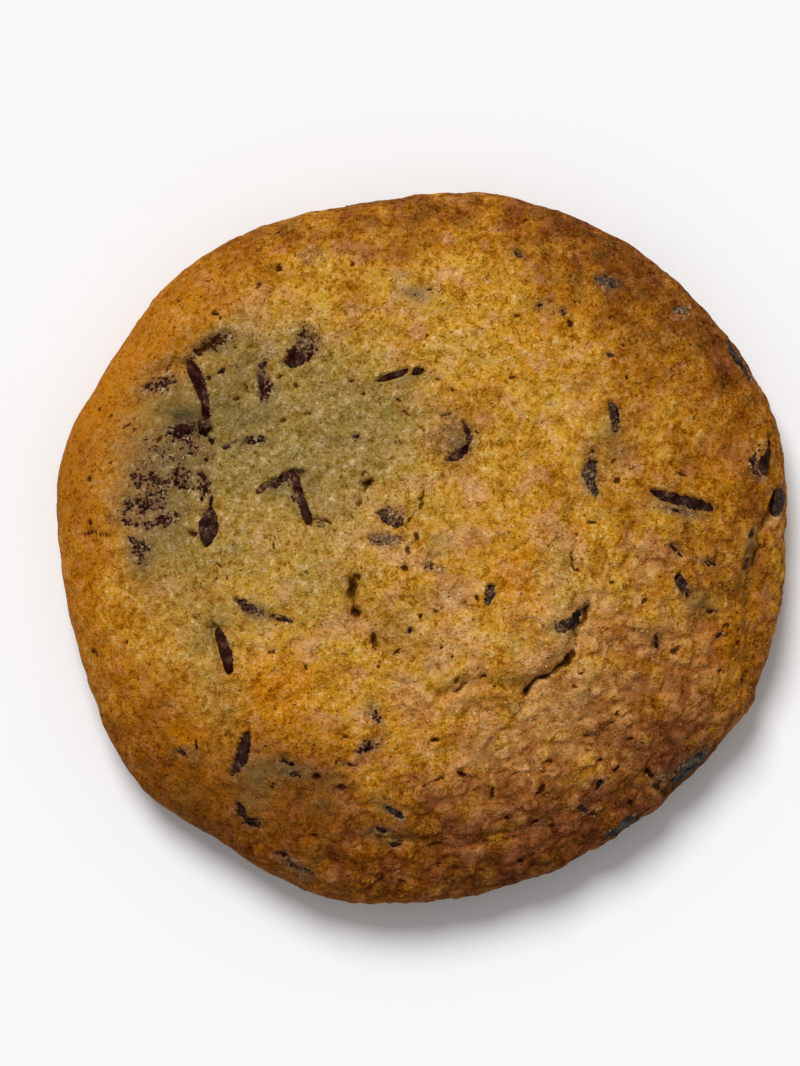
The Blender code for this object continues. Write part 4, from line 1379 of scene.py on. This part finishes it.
# Painted shade for the walls and floors of holes, cracks and pores
PIT_SIDE_SHADE = ((0.3, tone(112, 74, 6)), (0.5, tone(104, 54, 6)), (0.7, tone(74, 28, 4)))
PIT_FLOOR_SHADE = tone(44, 17, 7)
# Grey of the chocolate's bloom, partly painted sheen
BLOOM_AND_SHEEN = ((0.36, tone(36, 38, 38)), (0.60, tone(72, 76, 74)))
COCOA = ((0.35, tone(24, 8, 7)), (0.65, tone(66, 36, 30)))


def clumps(tree, place, size):
    """Grains of crumb with ragged edges: a number for each grain, and distance from its middle."""
    moved = add_node(tree, "ShaderNodeTexNoise", {"Vector": place, "Scale": 1.6 / size, "Detail": 1.0})
    shift = add_node(
        tree, "ShaderNodeVectorMath", {0: moved.outputs["Color"], 1: (size, size, size)}, operation="MULTIPLY"
    )
    ragged = add_node(tree, "ShaderNodeVectorMath", {0: place, 1: shift.outputs["Vector"]})
    cells = add_node(tree, "ShaderNodeTexVoronoi", {"Vector": ragged.outputs["Vector"], "Scale": 1 / size})
    return cells.outputs["Color"], cells.outputs["Distance"]


def crust_colour(tree, place, grain):
    """Colour of the crust: its browning and patches of hue, then light grains with painted highlights on the raised
    crumb, and painted shade in the low crumb.
    """
    patch = speckle(tree, place, 3.0, 3.0, 0.55, 1)
    hue = speckle(tree, place, 3.4, 4.0, 0.6, 2)
    browning, pale = field(tree, "browning"), field(tree, "pale")
    baked = maths(tree, "ADD", browning, span(tree, patch, 0.3, 0.7, -0.14, 0.14))
    crust = ramp(tree, maths(tree, "ADD", baked, span(tree, grain, 0.35, 0.65, 0.10, -0.10)), CRUST)
    rosy = maths(tree, "ADD", hue, span(tree, field(tree, "crag"), 0.45, 0.85, 0.0, 0.20))
    crust = blend(tree, span(tree, rosy, 0.52, 0.64, 0.0, 0.75), crust, ramp(tree, baked, ROSY))
    khaki = span(tree, hue, 0.34, 0.52, 0.22, 0.0)
    khaki = maths(tree, "ADD", khaki, maths(tree, "MULTIPLY", pale, 0.95))
    crust = blend(tree, maths(tree, "MINIMUM", khaki, 0.92), crust, KHAKI)
    glow = maths(tree, "MULTIPLY", field(tree, "glow"), span(tree, patch, 0.3, 0.7, 0.50, 0.95))
    crust = blend(tree, glow, crust, GLOW)
    # Painted shade where the crumb is low
    low = span(tree, grain, 0.37, 0.485, 1.0, 0.0)
    crust = blend(tree, low, crust, VALLEY_SHADE, "MULTIPLY")
    # Lighter where the crumb is raised: pale grains, partly painted highlight
    light = span(tree, grain, 0.520, 0.650, 0.0, 0.72)
    bright = blend(tree, maths(tree, "MULTIPLY", pale, 0.8), ramp(tree, baked, LIGHT_GRAINS_AND_HIGHLIGHTS), CREAM)
    return blend(tree, light, crust, bright), light


def pore_mask(tree, place, crag):
    """Small ragged pores, 1 inside them, where painted shade goes."""
    lack = maths(tree, "SUBTRACT", speckle(tree, place, 0.60, 2.0, 0.6, 3), maths(tree, "MULTIPLY", crag, 0.03))
    return span(tree, lack, 0.305, 0.325, 1.0, 0.0)


def chocolate_mask(tree, place):
    """Grains of chocolate smeared into the dough, 1 on them."""
    share = field(tree, "smear")
    grains = maths(tree, "ADD", maths(tree, "MULTIPLY", share, 0.42), speckle(tree, place, 0.42, 3.0, 0.6, 6))
    return maths(tree, "MULTIPLY", span(tree, grains, 0.715, 0.765), span(tree, share, 0.06, 0.16))


def dough_material():
    """Baked dough: crust with grain, stains and grains of chocolate, and painted shade in its pores, dark cracks,
    seams and crumb valleys.
    """
    material, tree, shader, place = start_material("baked_dough", Specular_IOR_Level=0.04)
    fine = speckle(tree, place, 0.30, 2.0, 0.6)
    coarse = speckle(tree, place, 0.85, 3.0, 0.6, 7)
    clump, from_middle = clumps(tree, place, 0.55)
    grain = maths(tree, "ADD", maths(tree, "MULTIPLY", fine, 0.38), maths(tree, "MULTIPLY", coarse, 0.48))
    grain = maths(tree, "ADD", grain, maths(tree, "MULTIPLY", clump, 0.14))
    grain = maths(tree, "ADD", grain, span(tree, from_middle, 0.2, 0.7, 0.01, -0.03))
    crust, light = crust_colour(tree, place, grain)
    # Painted shade along the seams between plates
    seam = span(tree, maths(tree, "ADD", field(tree, "seam"), span(tree, coarse, 0.3, 0.7, -0.3, 0.3)), 0.2, 0.8)
    crust = blend(tree, maths(tree, "MULTIPLY", seam, 0.6), crust, GROOVE_SHADE, "MULTIPLY")
    ragged = span(tree, coarse, 0.35, 0.65, 0.5, 1.0)
    veil = field(tree, "veil")
    crust = blend(tree, maths(tree, "MULTIPLY", veil, ragged), crust, ramp(tree, veil, STAIN))
    hazy = span(tree, field(tree, "smear"), 0.08, 0.55, 0.0, 0.75)
    crust = blend(tree, hazy, crust, blend(tree, span(tree, light, 0.0, 0.6), HAZE, PALE_GRAIN))
    chocolate = chocolate_mask(tree, place)
    crust = blend(tree, chocolate, crust, ramp(tree, coarse, COCOA))
    # Painted shade in the holes, cracks and pores, darkest at their floors
    side = ramp(tree, field(tree, "browning"), PIT_SIDE_SHADE)
    pores = pore_mask(tree, place, field(tree, "crag"))
    pit = maths(tree, "ADD", field(tree, "pit"), span(tree, fine, 0.3, 0.7, -0.22, 0.22))
    floor = blend(tree, span(tree, pit, 0.5, 0.85), side, PIT_FLOOR_SHADE)
    pit = maths(tree, "MULTIPLY", span(tree, pit, 0.34, 0.52), span(tree, field(tree, "pit"), 0.08, 0.25))
    pit = maths(tree, "MAXIMUM", pit, maths(tree, "MULTIPLY", pores, 0.85))
    crust = blend(tree, maths(tree, "MULTIPLY", pit, 0.95), crust, floor)
    height = maths(tree, "SUBTRACT", maths(tree, "MULTIPLY", grain, 3.0), maths(tree, "ADD", pit, seam))
    rough = span(tree, fine, 0.3, 0.7, 0.85, 0.6)
    finish_material(tree, shader, crust, rough, height, 0.8, 0.00022)
    return material


def crumb_material():
    """Loose grains, a little lighter than the crust that they lie on."""
    material, tree, shader, place = start_material("dough_crumb", Specular_IOR_Level=0.06)
    luck = field(tree, "luck")
    crust, _light = crust_colour(tree, place, span(tree, luck, 0.0, 1.0, 0.40, 0.58))
    veil = field(tree, "veil")
    crust = blend(tree, maths(tree, "MULTIPLY", veil, 0.7), crust, ramp(tree, veil, STAIN))
    hazy = span(tree, field(tree, "smear"), 0.08, 0.55, 0.0, 0.8)
    crust = blend(tree, hazy, crust, blend(tree, luck, tone(70, 44, 34), PALE_GRAIN))
    grain = speckle(tree, place, 0.12)
    finish_material(tree, shader, crust, span(tree, grain, 0.3, 0.7, 0.8, 0.5), grain, 0.4, 0.00005)
    return material


def chocolate_material():
    """Dark chocolate that melted and set, dusted here and there with the dough's crumb, with painted sheen in its
    lighter mottle and in its grey bloom.
    """
    material, tree, shader, place = start_material("dark_chocolate", Specular_IOR_Level=0.07)
    shader.inputs["Specular Tint"].default_value = tone(255, 214, 196)
    fine = speckle(tree, place, 0.34, 2.0, 0.6)
    mottle = speckle(tree, place, 1.1, 3.0, 0.6, 8)
    # The mottle's lighter purple-grey end is partly painted sheen
    base = ramp(tree, mottle, ((0.36, tone(34, 10, 6)), (0.52, tone(50, 24, 18)), (0.66, tone(76, 54, 46))))
    # Greying for each piece, partly bloom and partly painted sheen
    base = blend(tree, field(tree, "bloom_and_sheen"), base, ramp(tree, mottle, BLOOM_AND_SHEEN))
    grains = maths(tree, "ADD", maths(tree, "MULTIPLY", fine, 0.55), maths(tree, "MULTIPLY", mottle, 0.45))
    grains = maths(tree, "ADD", grains, maths(tree, "MULTIPLY", field(tree, "dust"), 0.36))
    dusted = span(tree, grains, 0.58, 0.76, 0.0, 0.9)
    base = blend(tree, dusted, base, ramp(tree, fine, ((0.4, tone(98, 72, 46)), (0.62, tone(168, 132, 90)))))
    height = maths(tree, "ADD", fine, maths(tree, "ADD", mottle, dusted))
    finish_material(tree, shader, base, span(tree, mottle, 0.35, 0.65, 0.35, 0.65), height, 0.6, 0.00012)
    return material


# ---------------------------------------------------------------- stage, light and camera

VIEW_ELEVATION = 90.0
CAMERA_DISTANCE = 0.90
PICTURE_HEIGHT = 0.1274
AIM = (-2.59, 1.75, 9.0)
SKY_STRENGTH = 0.36
KEY_STRENGTH = 2.55
KEY_WAY = (-0.25, 0.72, 1.0)
KEY_SPREAD = 26


def make_stage():
    """A plain pale floor under the cookie."""
    floor_mesh = bmesh.new()
    bmesh.ops.create_grid(floor_mesh, x_segments=1, y_segments=1, size=3.0)
    floor = add_object("floor", floor_mesh)
    floor.location.z = -0.0002
    material, _tree, shader, _place = start_material("pale_floor", Roughness=0.9)
    shader.inputs["Base Color"].default_value = (0.95, 0.95, 0.95, 1)
    floor.data.materials.append(material)


def make_light():
    """Soft light from the north and above, and an even fill."""
    world = bpy.data.worlds.new("studio")
    world.use_nodes = True
    world.node_tree.nodes["Background"].inputs["Color"].default_value = (1, 1, 1, 1)
    world.node_tree.nodes["Background"].inputs["Strength"].default_value = SKY_STRENGTH
    bpy.context.scene.world = world
    lamp = bpy.data.lights.new("key", "SUN")
    lamp.energy = KEY_STRENGTH
    lamp.angle = math.radians(KEY_SPREAD)
    key = bpy.data.objects.new("key", lamp)
    key.rotation_euler = Vector(KEY_WAY).to_track_quat("Z", "Y").to_euler()
    bpy.context.scene.collection.objects.link(key)


def make_camera():
    """Straight above, far enough away to keep the sides out of sight."""
    lens = bpy.data.cameras.new("camera")
    lens.sensor_fit = "VERTICAL"
    lens.sensor_height = 24
    lens.lens = lens.sensor_height * CAMERA_DISTANCE / PICTURE_HEIGHT
    camera = bpy.data.objects.new("camera", lens)
    rise = math.radians(VIEW_ELEVATION)
    toward = Vector((0, -math.cos(rise), math.sin(rise)))
    camera.location = Vector(AIM) * MM + toward * CAMERA_DISTANCE
    camera.rotation_euler = (math.pi / 2 - rise, 0, 0)
    bpy.context.scene.collection.objects.link(camera)
    bpy.context.scene.camera = camera
    bpy.context.scene.view_settings.view_transform = "Standard"


make_camera()
make_light()
make_stage()
cookie, cookie_skin = make_dough(dough_material())
make_crumbs(cookie, cookie_skin, crumb_material())
chocolate = chocolate_material()
for chunk in chunk_names():
    make_chunk(chunk, cookie_skin, chocolate)
make_bits(cookie_skin, chocolate)
